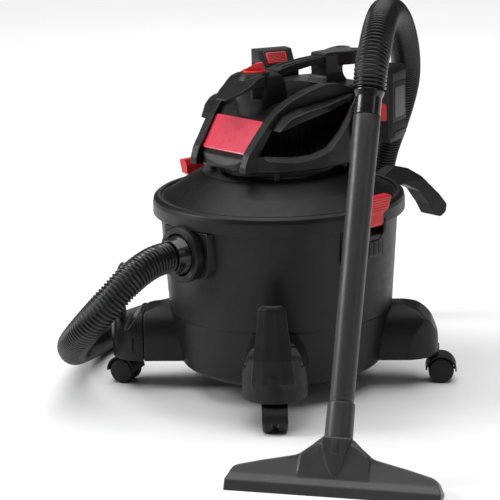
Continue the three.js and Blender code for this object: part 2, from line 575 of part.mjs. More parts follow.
function buildWand() {
  const top = WAND_TOP.distanceTo(WAND_FOOT);
  add('hose_cuff_wand', inWandFrame(wandTube(top - 24, top - 2, 26, 26, 17.4)), DARK);
  add('wand_upper', inWandFrame(wandTube(top - 76, top - 4, 16.6, 17, 14.5)), GREY);
  add('wand_lower', inWandFrame(wandTube(top - 440, top - 38, 17, 19.4, 0.1).subtract(rod(17.4, top - 80, top, 20))
    .add(rod(16.4, top - 470, top - 439, 20)).subtract(rod(14, top - 480, top - 70, 20))), GREY);

  const fan = mirrored([[0, -30], [NOZZLE_HALF, -30], [NOZZLE_HALF, 6], [141, 26], [100, 36], [50, 47], [32, 62], [20, 72], [0, 76]]);
  const wedge = mirrored([[0, 90], [11, 90], [12, 30], [19, 10], [22, -30], [0, -30]]);
  const inner = mirrored([[0, -40], [NOZZLE_HALF - 4, -40], [NOZZLE_HALF - 4, 4], [136, 20], [48, 40], [0, 62]]);
  const gape = mirrored([[0, 64], [8, 62], [9, 26], [15.5, 8], [18, -40], [0, -40]]);
  const shell = frontPrism(fan, -30, 30).intersect(sidePrism(wedge, -200, 200));
  const hollow = frontPrism(inner, -30, 30).intersect(sidePrism(gape, -200, 200));
  const collar = rod(21, 44, 70, 20, 20).add(rod(20, 70, top - 446, 20, 18.9)).subtract(rod(16.8, 74, top, 20));
  const whole = inWandFrame(shell.add(collar).subtract(hollow).subtract(rod(8, 50, 90, 16)));
  add('floor_nozzle', whole.intersect(box(200, 640, -460, -120, 0, 300)), GREY);
}

buildDrum();
buildFootCap('front_right');
buildFootCap('front_left');
for (const where of Object.keys(ARM_ANGLES)) buildCaster(where);
buildInlet();
buildLid();
buildCover();
buildTop();
buildPacks();
buildInside();
buildLatches();
buildRearHook();
buildHose();
buildWand();

export default model;
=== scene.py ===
"""Looks of a cordless wet and dry drum vacuum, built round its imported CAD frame.

Shapes are written in millimetres from the drum's axis, with the floor at z = 0 and the front towards -Y,
and settled() turns them into metres in the part's frame.
"""
import math

import bmesh
import bpy
from mathutils import Matrix, Vector


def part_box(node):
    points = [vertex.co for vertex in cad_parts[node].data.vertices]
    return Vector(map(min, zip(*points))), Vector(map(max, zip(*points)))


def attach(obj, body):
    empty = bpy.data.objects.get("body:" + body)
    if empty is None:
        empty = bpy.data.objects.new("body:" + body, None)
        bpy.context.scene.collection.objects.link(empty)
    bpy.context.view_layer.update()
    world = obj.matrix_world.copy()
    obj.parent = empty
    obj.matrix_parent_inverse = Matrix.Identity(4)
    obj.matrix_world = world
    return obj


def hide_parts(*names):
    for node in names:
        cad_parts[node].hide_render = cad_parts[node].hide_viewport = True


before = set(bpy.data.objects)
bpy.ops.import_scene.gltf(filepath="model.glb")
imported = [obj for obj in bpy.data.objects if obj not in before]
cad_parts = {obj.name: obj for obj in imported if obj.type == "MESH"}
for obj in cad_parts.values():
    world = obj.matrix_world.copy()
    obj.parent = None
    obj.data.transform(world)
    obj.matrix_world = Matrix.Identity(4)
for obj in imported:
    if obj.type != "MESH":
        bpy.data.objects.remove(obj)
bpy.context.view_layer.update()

# ---- driving values, in millimetres and degrees; those the CAD has too are the same there
MM = 0.001
lid_low, lid_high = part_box("lid")
AXIS_Y = (lid_low.y + lid_high.y) / 2          # the drum's axis in the part's frame
LID_R = (lid_high.x - lid_low.x) / 2 / MM
HOSE_R = 24.0
RIB_PITCH = 5.8
NOZZLE_HALF = 150.0
ARM_ANGLES = {"front_right": -45, "front_left": -135, "rear_right": 45, "rear_left": 135}
CASTER_YAW = {"front_right": 139, "front_left": 23, "rear_right": 225, "rear_left": 200}
ARM_TIP_R = 246.0
CAP_TIP_R = 268.0
CAP_SEAM_R = 214.0
FOOT_HALF = 49.0
FOOT_BOTTOM = 47.0
CASTER_R = 237.0
WHEEL_R = 20.0
TRAIL = 13.0
INLET_Z = 243.0
SIDES = (("right", 1), ("left", -1))
PACK_PLACE = (126.5, 106.5, 398.0)             # the right pack's foot
PACK_YAW = 20.4
GAP = 0.3                                      # how far a foot stays inside its CAD shape and its seam
LATCH_Y = 5.0
LATCH_PIN = (204.5, 289.0)                     # x and z of the right latch's pin
DIAL_Y = -46.0
WAND_TOP = Vector((280, -76, 508))
WAND_FOOT = Vector((418.4, -286.4, 0))
LIP_DIRECTION = Vector((0.8305, 0.557, 0))
WAND_LENGTH = (WAND_TOP - WAND_FOOT).length
CAMERA_TURN = (48.87, 14.09, -1.36)            # azimuth, elevation and roll, in degrees
CAMERA_PLACE = (2.4327, -2.1863, 1.0351)       # in metres from the drum's axis
CAMERA_LENS = 155.67

# The hose's centre line, from its cuff at the drum to its cuff at the wand.
HOSE_ROUTE = [
    (0, -224, 243), (0, -250, 241), (0, -277, 233), (-2, -302, 219), (-9, -323, 199),
    (-22, -338, 177), (-46, -345, 151), (-80, -338, 125), (-120, -318, 102), (-164, -286, 80),
    (-210, -248, 60), (-254, -205, 44), (-294, -158, 32), (-326, -108, 26), (-350, -58, 25),
    (-366, -6, 25), (-372, 46, 25), (-368, 100, 25), (-354, 152, 25), (-330, 202, 25),
    (-297, 246, 25), (-257, 284, 26), (-214, 312, 36), (-180, 326, 60), (-156, 333, 92),
    (-141, 334, 126), (-131, 334, 170), (-123, 332, 220), (-112, 330, 268), (-95, 327, 314),
    (-72, 324, 358), (-50, 319, 400), (-29, 309, 440), (-7, 288, 478), (17, 259, 511),
    (45, 222, 543), (80, 176, 567), (118, 128, 581), (160, 76, 589), (200, 30, 590),
    (235, -12, 581), (257, -41, 563), (272.7, -65, 535), (280, -76, 508),
]


def placed(name, data):
    """A new object in the scene that holds this data."""
    obj = bpy.data.objects.new(name, data)
    bpy.context.scene.collection.objects.link(obj)
    return obj


# ---- shape helpers, in millimetres
def shape_of(verts, faces):
    """A new object holding this closed mesh, with its faces pointing out."""
    mesh = bpy.data.meshes.new("shape")
    mesh.from_pydata([tuple(v) for v in verts], [], faces)
    made = bmesh.new()
    made.from_mesh(mesh)
    bmesh.ops.recalc_face_normals(made, faces=made.faces)
    made.to_mesh(mesh)
    made.free()
    return placed("shape", mesh)


def settle(obj):
    """Applies the object's modifiers to its mesh."""
    graph = bpy.context.evaluated_depsgraph_get()
    made = bpy.data.meshes.new_from_object(obj.evaluated_get(graph))
    old = obj.data
    obj.modifiers.clear()
    obj.data = made
    bpy.data.meshes.remove(old)
    return obj


def combine(first, second, operation):
    """The first object joined with, cut by or kept inside the second, which is used up."""
    step = first.modifiers.new("combine", "BOOLEAN")
    step.operation = operation
    step.object = second
    step.solver = "MANIFOLD"
    settle(first)
    bpy.data.objects.remove(second)
    return first


def join(first, *others):
    for other in others:
        combine(first, other, "UNION")
    return first


def cut(first, *others):
    for other in others:
        combine(first, other, "DIFFERENCE")
    return first


def keep(first, *others):
    for other in others:
        combine(first, other, "INTERSECT")
    return first


def moved(obj, matrix):
    obj.data.transform(matrix)
    if matrix.determinant() < 0:
        obj.data.flip_normals()
    return obj


def turned_by(obj, degrees, axis="Z"):
    return moved(obj, Matrix.Rotation(math.radians(degrees), 4, axis))


def shifted(obj, x, y, z):
    return moved(obj, Matrix.Translation((x, y, z)))


def on_side(obj, side):
    """The shape as it is on the right (side 1), or its mirror image on the left (side -1)."""
    return moved(obj, Matrix.Scale(-1, 4, (1, 0, 0))) if side < 0 else obj


def mould(obj, voxel, soften):
    """Rounds every edge as a moulding has it: fine voxels, then smoothing."""
    step = obj.modifiers.new("voxels", "REMESH")
    step.mode = "VOXEL"
    step.voxel_size = voxel
    step = obj.modifiers.new("soften", "SMOOTH")
    step.factor = 0.5
    step.iterations = soften
    return settle(obj)


def bevelled(obj, width, segments=3, angle=32):
    """Rounds the edges that turn by more than the angle, in degrees."""
    step = obj.modifiers.new("bevel", "BEVEL")
    step.width = width
    step.segments = segments
    step.limit_method = "ANGLE"
    step.angle_limit = math.radians(angle)
    return settle(obj)


def rounded(points, radius=2.0, closed=True, steps=5):
    """An outline with its corners turned into curves. A point may carry a radius of its own."""
    out = []
    count = len(points)
    for i, point in enumerate(points):
        here = Vector(point[:2])
        own = point[2] if len(point) > 2 else radius
        back = Vector(points[i - 1][:2]) - here
        ahead = Vector(points[(i + 1) % count][:2]) - here
        at_end = not closed and i in (0, count - 1)
        corner = 0 if at_end else back.angle(ahead)
        if at_end or own == 0 or corner > 3.1:
            out.append((here.x, here.y))
            continue
        reach = min(own / math.tan(corner / 2), 0.45 * back.length, 0.45 * ahead.length)
        a = here + back.normalized() * reach
        b = here + ahead.normalized() * reach
        for k in range(steps + 1):
            s = k / steps
            p = a * (1 - s) ** 2 + here * (2 * s * (1 - s)) + b * s * s
            out.append((p.x, p.y))
    return out


def mirrored(half):
    """The same points again on the other side of the first axis."""
    return [*half, *[(-p[0], *p[1:]) for p in reversed(half) if p[0] != 0]]


def prism(points, low, high, along="z"):
    """An outline drawn out along one axis: (x, y) along z, (y, z) along x, (x, z) along y."""
    place = {
        "z": lambda a, b, t: (a, b, t),
        "x": lambda a, b, t: (t, a, b),
        "y": lambda a, b, t: (a, t, b),
    }[along]
    count = len(points)
    verts = [place(a, b, t) for t in (low, high) for a, b in points]
    sides = [(i, (i + 1) % count, (i + 1) % count + count, i + count) for i in range(count)]
    return shape_of(verts, [tuple(range(count)), tuple(range(count, 2 * count)), *sides])


def block(x0, x1, y0, y1, z0, z1):
    return prism([(x0, y0), (x1, y0), (x1, y1), (x0, y1)], z0, z1)


def lathe(profile, sides=160):
    """A profile in (radius, z) turned about Z. It starts and ends on the axis, or closes on itself."""
    verts, rings = [], []
    for r, z in profile:
        count = 1 if r <= 0 else sides
        rings.append(range(len(verts), len(verts) + count))
        for k in range(count):
            a = 2 * math.pi * k / sides
            verts.append((r * math.cos(a), r * math.sin(a), z))
    faces = []
    pairs = list(zip(rings, rings[1:]))
    if profile[0][0] > 0:
        pairs.append((rings[-1], rings[0]))
    for a, b in pairs:
        for k in range(sides):
            n = (k + 1) % sides
            if len(a) == 1:
                faces.append((a[0], b[k], b[n]))
            elif len(b) == 1:
                faces.append((a[k], a[n], b[0]))
            else:
                faces.append((a[k], a[n], b[n], b[k]))
    return shape_of(verts, faces)


def along_y(obj, x=0, y=0, z=0):
    """A turned shape laid along Y: its local +Z looks towards -Y."""
    turned_by(obj, 90, "X")
    return shifted(obj, x, y, z)


def rod(radius, low, high, sides=48, edge=0.6):
    """A round bar along Z with softened ends."""
    points = [(0, low), (radius, low, edge), (radius, high, edge), (0, high)]
    return lathe(rounded(points, closed=False, steps=3), sides)


def loft(rings):
    """A closed skin over loops of equally many points, with flat ends."""
    count = len(rings[0])
    verts = [p for ring in rings for p in ring]
    faces = [tuple(range(count)), tuple(range(len(verts) - count, len(verts)))]
    for j in range(len(rings) - 1):
        for i in range(count):
            n = (i + 1) % count
            faces.append((j * count + i, j * count + n, (j + 1) * count + n, (j + 1) * count + i))
    return shape_of(verts, faces)


def warp(obj, change):
    """Moves every vertex to where the change puts it."""
    for v in obj.data.vertices:
        v.co = change(v.co)
    return obj


def settled(obj, name, body, material, replaces=(), sharp=38):
    """Puts a finished shape into the part's frame in metres."""
    obj.data.transform(Matrix.Translation((0, AXIS_Y, 0)) @ Matrix.Scale(MM, 4))
    obj.name = name
    obj.data.name = name
    obj.data.materials.clear()
    obj.data.materials.append(material)
    obj.data.shade_smooth()
    obj.data.set_sharp_from_angle(angle=math.radians(sharp))
    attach(obj, body)
    if replaces:
        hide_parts(*replaces)
    return obj


# ---- materials
class Look:
    """A new material with its Principled shader, and the nodes that feed it."""

    def __init__(self, name):
        self.material = bpy.data.materials.new(name)
        self.material.use_nodes = True
        self.nodes = self.material.node_tree.nodes
        self.links = self.material.node_tree.links
        self.sockets = self.nodes["Principled BSDF"].inputs
        self.coordinates = self.nodes.new("ShaderNodeTexCoord").outputs["Object"]

    def noise(self, scale, detail=3.0, rough=0.55):
        node = self.nodes.new("ShaderNodeTexNoise")
        node.inputs["Scale"].default_value = scale
        node.inputs["Detail"].default_value = detail
        node.inputs["Roughness"].default_value = rough
        self.links.new(self.coordinates, node.inputs["Vector"])
        return node.outputs["Fac"]

    def spread(self, source, low, high, start=0.3, end=0.7):
        """Maps a noise's middle range onto low to high."""
        node = self.nodes.new("ShaderNodeMapRange")
        node.inputs["From Min"].default_value = start
        node.inputs["From Max"].default_value = end
        node.inputs["To Min"].default_value = low
        node.inputs["To Max"].default_value = high
        self.links.new(source, node.inputs["Value"])
        return node.outputs["Result"]

    def mix(self, factor, first, second):
        """Mixes two colours. The first may be the output of another mix."""
        node = self.nodes.new("ShaderNodeMix")
        node.data_type = "RGBA"
        if isinstance(first, tuple):
            node.inputs["A"].default_value = (*first, 1)
        else:
            self.links.new(first, node.inputs["A"])
        node.inputs["B"].default_value = (*second, 1)
        self.links.new(factor, node.inputs["Factor"])
        return node.outputs["Result"]

    def product(self, first, second):
        node = self.nodes.new("ShaderNodeMath")
        node.operation = "MULTIPLY"
        self.links.new(first, node.inputs[0])
        self.links.new(second, node.inputs[1])
        return node.outputs["Value"]

    def surface(self, colour, rough, height, strength, distance):
        """Links the colour, the roughness and a bump of this strength to the shader."""
        bump = self.nodes.new("ShaderNodeBump")
        bump.inputs["Strength"].default_value = strength
        bump.inputs["Distance"].default_value = distance
        self.links.new(height, bump.inputs["Height"])
        self.links.new(bump.outputs["Normal"], self.sockets["Normal"])
        self.links.new(colour, self.sockets["Base Color"])
        self.links.new(rough, self.sockets["Roughness"])
        return self.material


def tinted(colour, share):
    return tuple(min(1, c * share) for c in colour)


def plastic(name, colour, rough, grain=900.0, depth=0.12, wear=0.25, coat=0.0, specular=0.5, mottle=0.12):
    """Moulded plastic: a fine spark-eroded grain, uneven sheen, and edges rubbed a little lighter."""
    look = Look(name)
    cloud = look.noise(11.0)
    fine = look.noise(grain, 2.0, 0.6)
    scuff = look.noise(70.0, 6.0, 0.7)
    shade = look.mix(look.spread(cloud, 0, 1), tinted(colour, 1 - mottle), tinted(colour, 1 + mottle))
    pointiness = look.nodes.new("ShaderNodeNewGeometry").outputs["Pointiness"]
    worn = look.product(look.spread(pointiness, 0, wear, 0.53, 0.62), look.spread(scuff, 0.3, 1))
    rubbed = look.mix(worn, shade, [c + (1 - c) * 0.22 for c in colour])
    look.sockets["Specular IOR Level"].default_value = specular
    look.sockets["Coat Weight"].default_value = coat
    look.sockets["Coat Roughness"].default_value = 0.18
    return look.surface(rubbed, look.spread(scuff, *rough), fine, depth, 0.0004)


def metal(name, colour, rough):
    """Turned or stamped metal with fine scratches and dull patches."""
    look = Look(name)
    cloud = look.noise(40.0, 5.0)
    fine = look.noise(1400.0, 2.0)
    shade = look.mix(look.spread(cloud, 0, 1), tinted(colour, 0.75), colour)
    look.sockets["Metallic"].default_value = 1.0
    return look.surface(shade, look.spread(cloud, *rough), fine, 0.15, 0.0003)


def paper(name, colour):
    """Pleated filter paper: fibres and a little dust."""
    look = Look(name)
    fibres = look.noise(600.0, 8.0, 0.8)
    dust = look.noise(18.0, 4.0)
    shade = look.mix(look.spread(dust, 0, 1), tinted(colour, 0.72), colour)
    return look.surface(shade, look.spread(fibres, 0.85, 0.98), fibres, 0.4, 0.0005)


BODY = plastic("body_black", (0.0042, 0.0043, 0.0046), (0.36, 0.50), grain=1500, depth=0.10, specular=0.3)
DARK = plastic("inner_black", (0.005, 0.005, 0.0054), (0.5, 0.66), grain=1100, depth=0.2, specular=0.3)
DECK = plastic("deck_black", (0.004, 0.004, 0.0044), (0.72, 0.88), grain=700, depth=0.6, wear=0.1,
               specular=0.15)
# Light satin grey: the wand's, nozzle's and retainer's own colour; on the eye lips it is a painted
# highlight.
SATIN = plastic("accessory_grey", (0.026, 0.026, 0.0275), (0.34, 0.46), grain=1300, depth=0.08)
HOSE = plastic("hose_black", (0.0035, 0.0035, 0.004), (0.3, 0.36), grain=500, depth=0.03, wear=0.04,
               coat=0.12, specular=0.35, mottle=0.05)
GLOSS = plastic("gloss_black", (0.005, 0.005, 0.0055), (0.2, 0.32), grain=900, depth=0.05, coat=0.3)
WHEEL = plastic("wheel_black", (0.006, 0.006, 0.0064), (0.45, 0.62), grain=800, depth=0.25, specular=0.35)
RED = plastic("control_red", (0.56, 0.008, 0.014), (0.3, 0.42), grain=1200, depth=0.08, wear=0.12,
              mottle=0.06)
PANEL = plastic("panel_red", (0.66, 0.045, 0.085), (0.24, 0.34), grain=1500, depth=0.04, wear=0.02,
                coat=0.4, mottle=0.02)
LABEL = plastic("plate_grey", (0.06, 0.06, 0.063), (0.4, 0.52), grain=1500, depth=0.06, wear=0.1)
RUBBER = plastic("seal_rubber", (0.012, 0.012, 0.012), (0.75, 0.9), grain=500, depth=0.3, wear=0.05,
                 specular=0.3)
BOARD = plastic("board_green", (0.012, 0.09, 0.035), (0.35, 0.5), grain=400, depth=0.2, wear=0.1)
STEEL = metal("pin_steel", (0.62, 0.63, 0.65), (0.22, 0.4))
MOTOR = metal("motor_metal", (0.5, 0.5, 0.5), (0.35, 0.55))
FILTER = paper("filter_paper", (0.72, 0.69, 0.60))


# ---- camera, floor and lights
def make_camera():
    """A pinhole camera in front of the right side, a little above the lid."""
    azimuth, elevation, roll = (math.radians(a) for a in CAMERA_TURN)
    level = Vector((math.cos(azimuth), math.sin(azimuth), 0))
    outward = Vector((math.sin(azimuth), -math.cos(azimuth), 0))
    back = outward * math.cos(elevation) + Vector((0, 0, math.sin(elevation)))
    up = back.cross(level)
    across = level * math.cos(roll) + up * math.sin(roll)
    upright = up * math.cos(roll) - level * math.sin(roll)
    data = bpy.data.cameras.new("camera")
    data.sensor_width = 36
    data.lens = CAMERA_LENS
    data.clip_start = 0.05
    data.clip_end = 60
    camera = placed("camera", data)
    turn = Matrix((across, upright, back)).transposed().to_4x4()
    x, y, z = CAMERA_PLACE
    camera.matrix_world = Matrix.Translation((x, AXIS_Y + y, z)) @ turn
    bpy.context.scene.camera = camera


def make_floor():
    """A wide flat floor in one pale grey."""
    half = 9
    corners = [(-half, -half, 0), (half, -half, 0), (half, half, 0), (-half, half, 0)]
    mesh = bpy.data.meshes.new("floor")
    mesh.from_pydata(corners, [], [(0, 1, 2, 3)])
    floor = placed("floor", mesh)
    look = Look("floor_pale")
    look.links.new(look.spread(look.noise(1.5), 0.55, 0.65), look.sockets["Roughness"])
    look.sockets["Base Color"].default_value = (0.93, 0.93, 0.93, 1)
    mesh.materials.append(look.material)


def area_light(name, place, target, width, height, power):
    """A rectangular lamp that faces the target, in metres and watts."""
    data = bpy.data.lights.new(name, "AREA")
    data.shape = "RECTANGLE"
    data.size = width
    data.size_y = height
    data.energy = power
    light = placed(name, data)
    light.location = place
    light.rotation_euler = (Vector(target) - Vector(place)).to_track_quat("-Z", "Y").to_euler()


def make_lights():
    """White surroundings that give little light, three soft lamps, and a wide soft sky from above."""
    world = bpy.data.worlds.new("studio")
    bpy.context.scene.world = world
    world.use_nodes = True
    nodes, links = world.node_tree.nodes, world.node_tree.links
    background = nodes["Background"]
    background.inputs["Color"].default_value = (1, 1, 1, 1)
    seen = nodes.new("ShaderNodeLightPath")
    strength = nodes.new("ShaderNodeMapRange")
    strength.inputs["To Min"].default_value = 0.06
    strength.inputs["To Max"].default_value = 1.0
    links.new(seen.outputs["Is Camera Ray"], strength.inputs["Value"])
    links.new(strength.outputs["Result"], background.inputs["Strength"])
    middle = (0, 0, 0.3)
    area_light("key", (-2.3, -2.8, 2.0), middle, 1.5, 1.8, 100)
    area_light("side", (3.4, 0.6, 1.8), middle, 0.5, 1.6, 6)
    area_light("back", (-2.6, 2.4, 1.8), middle, 1.2, 1.8, 5)
    data = bpy.data.lights.new("sky", "SUN")
    data.energy = 3.0
    data.angle = math.radians(75)
    placed("sky", data)
    bpy.context.scene.view_settings.view_transform = "Standard"


# ---- hose
def hose_line(step):
    """Points a step apart along the route, as a centripetal spline through its points."""
    points = [Vector(p) for p in HOSE_ROUTE]
    ends = [points[0] * 2 - points[1], *points, points[-1] * 2 - points[-2]]
    dense = []
    for i in range(1, len(ends) - 2):
        p = ends[i - 1:i + 3]
        t = [0.0]
        for a, b in zip(p, p[1:]):
            t.append(t[-1] + (b - a).length ** 0.5)
        for k in range(40):
            u = t[1] + (t[2] - t[1]) * k / 40
            a = [p[j].lerp(p[j + 1], (u - t[j]) / (t[j + 1] - t[j])) for j in range(3)]
            b = [a[j].lerp(a[j + 1], (u - t[j]) / (t[j + 2] - t[j])) for j in range(2)]
            dense.append(b[0].lerp(b[1], (u - t[1]) / (t[2] - t[1])))
    dense.append(points[-1])
    far = [0.0]
    for a, b in zip(dense, dense[1:]):
        far.append(far[-1] + (b - a).length)
    count = round(far[-1] / step)
    out, j = [], 0
    for k in range(count + 1):
        want = far[-1] * k / count
        while j < len(far) - 2 and far[j + 1] < want:
            j += 1
        out.append(dense[j].lerp(dense[j + 1], (want - far[j]) / (far[j + 1] - far[j])))
    return out


def swept(line, radii, sides):
    """A solid tube: one ring of points round each point of the line, with frames that don't twist."""
    rings = []
    ahead = (line[1] - line[0]).normalized()
    side = ahead.orthogonal().normalized()
    for k, point in enumerate(line):
        ahead = (line[min(k + 1, len(line) - 1)] - line[max(k - 1, 0)]).normalized()
        side = (side - ahead * side.dot(ahead)).normalized()
        other = ahead.cross(side)
        ring = []
        for i in range(sides):
            a = 2 * math.pi * i / sides
            ring.append(point + (side * math.cos(a) + other * math.sin(a)) * radii[k])
        rings.append(ring)
    return loft(rings)


def build_hose(end_piece):
    """Corrugated hose: six rings of points to each rib, with narrow flat valleys between round ribs."""
    wave = [HOSE_R - 2.9, HOSE_R - 0.9, HOSE_R - 0.1, HOSE_R - 0.1, HOSE_R - 0.9, HOSE_R - 2.9]
    step = RIB_PITCH / len(wave)
    line = hose_line(step)
    radii = [wave[k % len(wave)] for k in range(len(line))]
    hose = settled(swept(line, radii, 28), "hose_tube", "drum", HOSE, ["hose"], sharp=60)


# ---- drum and arms
def build_drum():
    """The drum's wall and floor, turned, with the inlet bored through its front."""
    outside = [
        (0, 36), (124, 36, 1), (128, 33, 1), (140, 33, 6), (157.5, 43, 12), (161, 60, 40),
        (171.3, 125.5, 2), (174, 129, 1.6), (184, 281, 3), (184, 296, 1)]
    inside = [
        (181, 296, 1), (181, 281, 3), (171, 131, 3), (168.5, 128, 3), (158, 60, 12), (154.5, 48, 8),
        (135, 39, 4), (0, 39)]
    drum = lathe(rounded([*outside, *inside], closed=False), 192)
    bore = along_y(rod(35.2, 150, 200, 64, 0), 0, 0, INLET_Z)
    settled(cut(drum, bore), "drum_shell", "drum", BODY, ["tank"])


def foot_plan(tip):
    """A foot seen from above, along +X: straight sides that close in a half circle round the tip."""
    half = FOOT_HALF - GAP
    points = [(130, -half)]
    for k in range(41):
        a = math.radians(-90 + 4.5 * k)
        points.append((tip - FOOT_HALF + half * math.cos(a), half * math.sin(a)))
    points.append((130, half))
    return prism(points, 0, 250)


def foot_section():
    """A foot seen along its length: a superellipse for a top, over upright sides."""
    half, base, rise, power = FOOT_HALF - GAP, 60, 71, 2 / 2.6
    points = [(half, 10)]
    for k in range(30):
        a = math.radians(3 * k)
        points.append((half * math.cos(a) ** power, base + rise * math.sin(a) ** power))
    points.append((0, base + rise))
    return prism(mirrored(points[::-1]), 125, 290, "x")


def arm_shape(end):
    """An arm along +X: a fender, flat below, that comes out of the drum and curves down to its tip."""
    side = rounded([
        (140, FOOT_BOTTOM), (ARM_TIP_R, FOOT_BOTTOM, 2), (ARM_TIP_R, 60, 5), (245, 82, 22),
        (235, 103, 26), (214, 122, 30), (191, 130, 30), (172, 133, 30), (140, 136)])
    plan = foot_plan(CAP_TIP_R if end < ARM_TIP_R else ARM_TIP_R)
    return keep(prism(side, -80, 80, "y"), plan, foot_section(), block(120, end, -80, 80, 0, 200))


def stem_bore():
    """The hole for a caster's stem in a foot along +X."""
    return shifted(rod(5.4, 30, 78, 32, 0), CASTER_R, 0, 0)


def build_arms():
    """Four arms: the front two end at their caps' seam, and the rear two carry a caster socket."""
    for where, angle in ARM_ANGLES.items():
        front = where.startswith("front")
        shape = mould(arm_shape(CAP_SEAM_R - GAP if front else ARM_TIP_R), 1.5, 7)
        if not front:
            join(shape, shifted(rod(10.5, FOOT_BOTTOM, 60, 32), CASTER_R, 0, 0))
            cut(shape, stem_bore())
        settled(turned_by(shape, angle), f"arm_{where}", "drum", BODY)


def grip_pad():
    """Raised pad on the drum's +X side with fine upright grooves."""
    radius, half_width, count = 187, 45, 72
    span = math.asin(half_width / radius)
    middle = math.asin(LATCH_Y / radius)
    profile = rounded([
        (176, 227, 0), (185.2, 229, 1.2), (187.5, 234, 2), (187.5, 277, 1.5), (186, 279.5, 1),
        (176, 279.5, 0)])
    rings = []
    for k in range(count + 1):
        share = k / count
        a = middle - span + 2 * span * share
        groove = 0.9 if k % 9 in (4, 5) and 3 < k < count - 3 else 0
        edge = min(1, min(k, count - k) / 3)
        sunk = groove + (1 - edge) * 2.2
        ring = []
        for r, z in profile:
            reach = r - sunk if r > 180 else r
            ring.append((reach * math.cos(a), reach * math.sin(a), z))
        rings.append(ring)
    return loft(rings)


def latch_bracket():
    """A bridge and two ears on the drum's +X side that hold the latch pin."""
    ear = rounded([
        (183, 252), (203, 262, 4), (211, 274, 5), (211, 291, 4), (207, 296, 3), (200, 296, 3),
        (196.5, 291, 2), (196.5, 279, 2), (183, 279)])
    ears = [bevelled(prism(ear, LATCH_Y + y, LATCH_Y + y + 5.5, "y"), 0.7) for y in (-19, 13.5)]
    bridge = rounded([(183, 254), (203, 263, 3), (208, 272, 3), (183, 274)])
    return join(bevelled(prism(bridge, LATCH_Y - 16, LATCH_Y + 16, "y"), 0.8), *ears)


def build_latch_seats():
    """The grip pad and the latch bracket on each side of the drum."""
    for name, side in SIDES:
        settled(on_side(grip_pad(), side), f"grip_pad_{name}", "drum", BODY)
        settled(on_side(latch_bracket(), side), f"latch_bracket_{name}", "drum", BODY)


# ---- foot caps
def post_shape():
    """Tall post along +X: a slim pyramid with a flat outer face between two bevels, and a two-step top."""
    levels = [
        # height, back, front, half width, bevel
        (54, 246, 261, 29, 15), (78, 246, 267.4, 32, 16), (112, 248, 266, 29, 16),
        (135, 248.6, 262.6, 26, 15), (186, 247, 256, 20, 12), (190.5, 247.4, 253.5, 17, 10),
        (192.6, 248.4, 251.6, 14, 8),
    ]
    rings = []
    for z, back, front, half, bevel in levels:
        corner = min(6, 0.6 * (front - back))
        plan = [
            (back, -half), (front - corner, -half), (front, -half + bevel), (front, half - bevel),
            (front - corner, half), (back, half)]
        rings.append([Vector((x, y, z)) for x, y in plan])
    return loft(rings)


def foot_cap_shape():
    """Cap along +X: a round toe over the caster, a notch behind the post, and the post itself."""
    side = rounded([
        (CAP_SEAM_R + GAP, 47.3, 0.6), (CAP_TIP_R, 47.3, 3), (CAP_TIP_R, 86, 20), (262, 112, 16),
        (251, 113, 3), (244.5, 97, 5), (237, 99, 6), (229, 111, 8), (221, 120, 5),
        (CAP_SEAM_R + GAP, 121.6, 0.8)])
    toe = keep(prism(side, -60, 60, "y"), foot_plan(CAP_TIP_R), foot_section())
    return join(toe, post_shape())


def build_foot_caps():
    """A C-shaped snap slot sits in each side of the toe beside the seam."""
    for name, side in SIDES:
        shape = foot_cap_shape()
        for low, high in ((-54, -45), (45, 54)):
            cut(shape, block(219, 231, low, high, 84, 86.4), block(219, 231, low, high, 62, 64.4),
                block(228.6, 231, low, high, 62, 86.4))
        cut(shape, block(CAP_SEAM_R + 6, 260, -27, 27, 20, 49.6))
        mould(shape, 0.95, 5)
        cut(shape, stem_bore())
        settled(turned_by(shape, ARM_ANGLES[f"front_{name}"]), f"foot_cap_shell_{name}", "drum", BODY,
                [f"foot_cap_{name}"])


# ---- casters
def trail_arc(radius, start, stop, count=28):
    """Points of an arc round the wheels' axis, seen from the side, in degrees."""
    points = []
    for k in range(count + 1):
        a = math.radians(start + (stop - start) * k / count)
        points.append((-TRAIL + radius * math.cos(a), WHEEL_R + radius * math.sin(a)))
    return points


def caster_fork_shape():
    """A thin hood over the wheels, a web between them, a plate under the foot, and the swivel stem."""
    hood = prism([*trail_arc(24.4, 4, 182), *trail_arc(22.0, 182, 4)], -19.2, 19.2, "y")
    web = prism(rounded([
        (-TRAIL - 21, 20, 2), (-TRAIL - 14, 36, 8), (-TRAIL, 43, 6), (6, 43, 4), (9, 24, 5),
        (-TRAIL + 7, 5, 4), (-TRAIL - 7, 5, 4)]), -4.2, 4.2, "y")
    plate = rod(13, 40.6, 44.4, 48, 1)
    shape = mould(join(hood, web, plate), 0.75, 3)
    return join(shape, rod(4.8, 40, 74, 32))


def wheel_shape(side):
    """One of a pair of wheels: a tread with one fine groove and a plain, slightly domed face."""
    profile = rounded([
        (0, 0), (19.2, 0, 1.4), (20, 1.5, 0.8), (20, 4.4, 0.3), (19.6, 4.8, 0.2), (19.6, 5.4, 0.2),
        (20, 5.8, 0.3), (20, 10.5, 3), (18.4, 13, 3), (12, 13.8, 8), (0, 14)], closed=False, steps=4)
    return shifted(turned_by(lathe(profile, 64), -90 * side, "X"), 0, side * 5, 0)


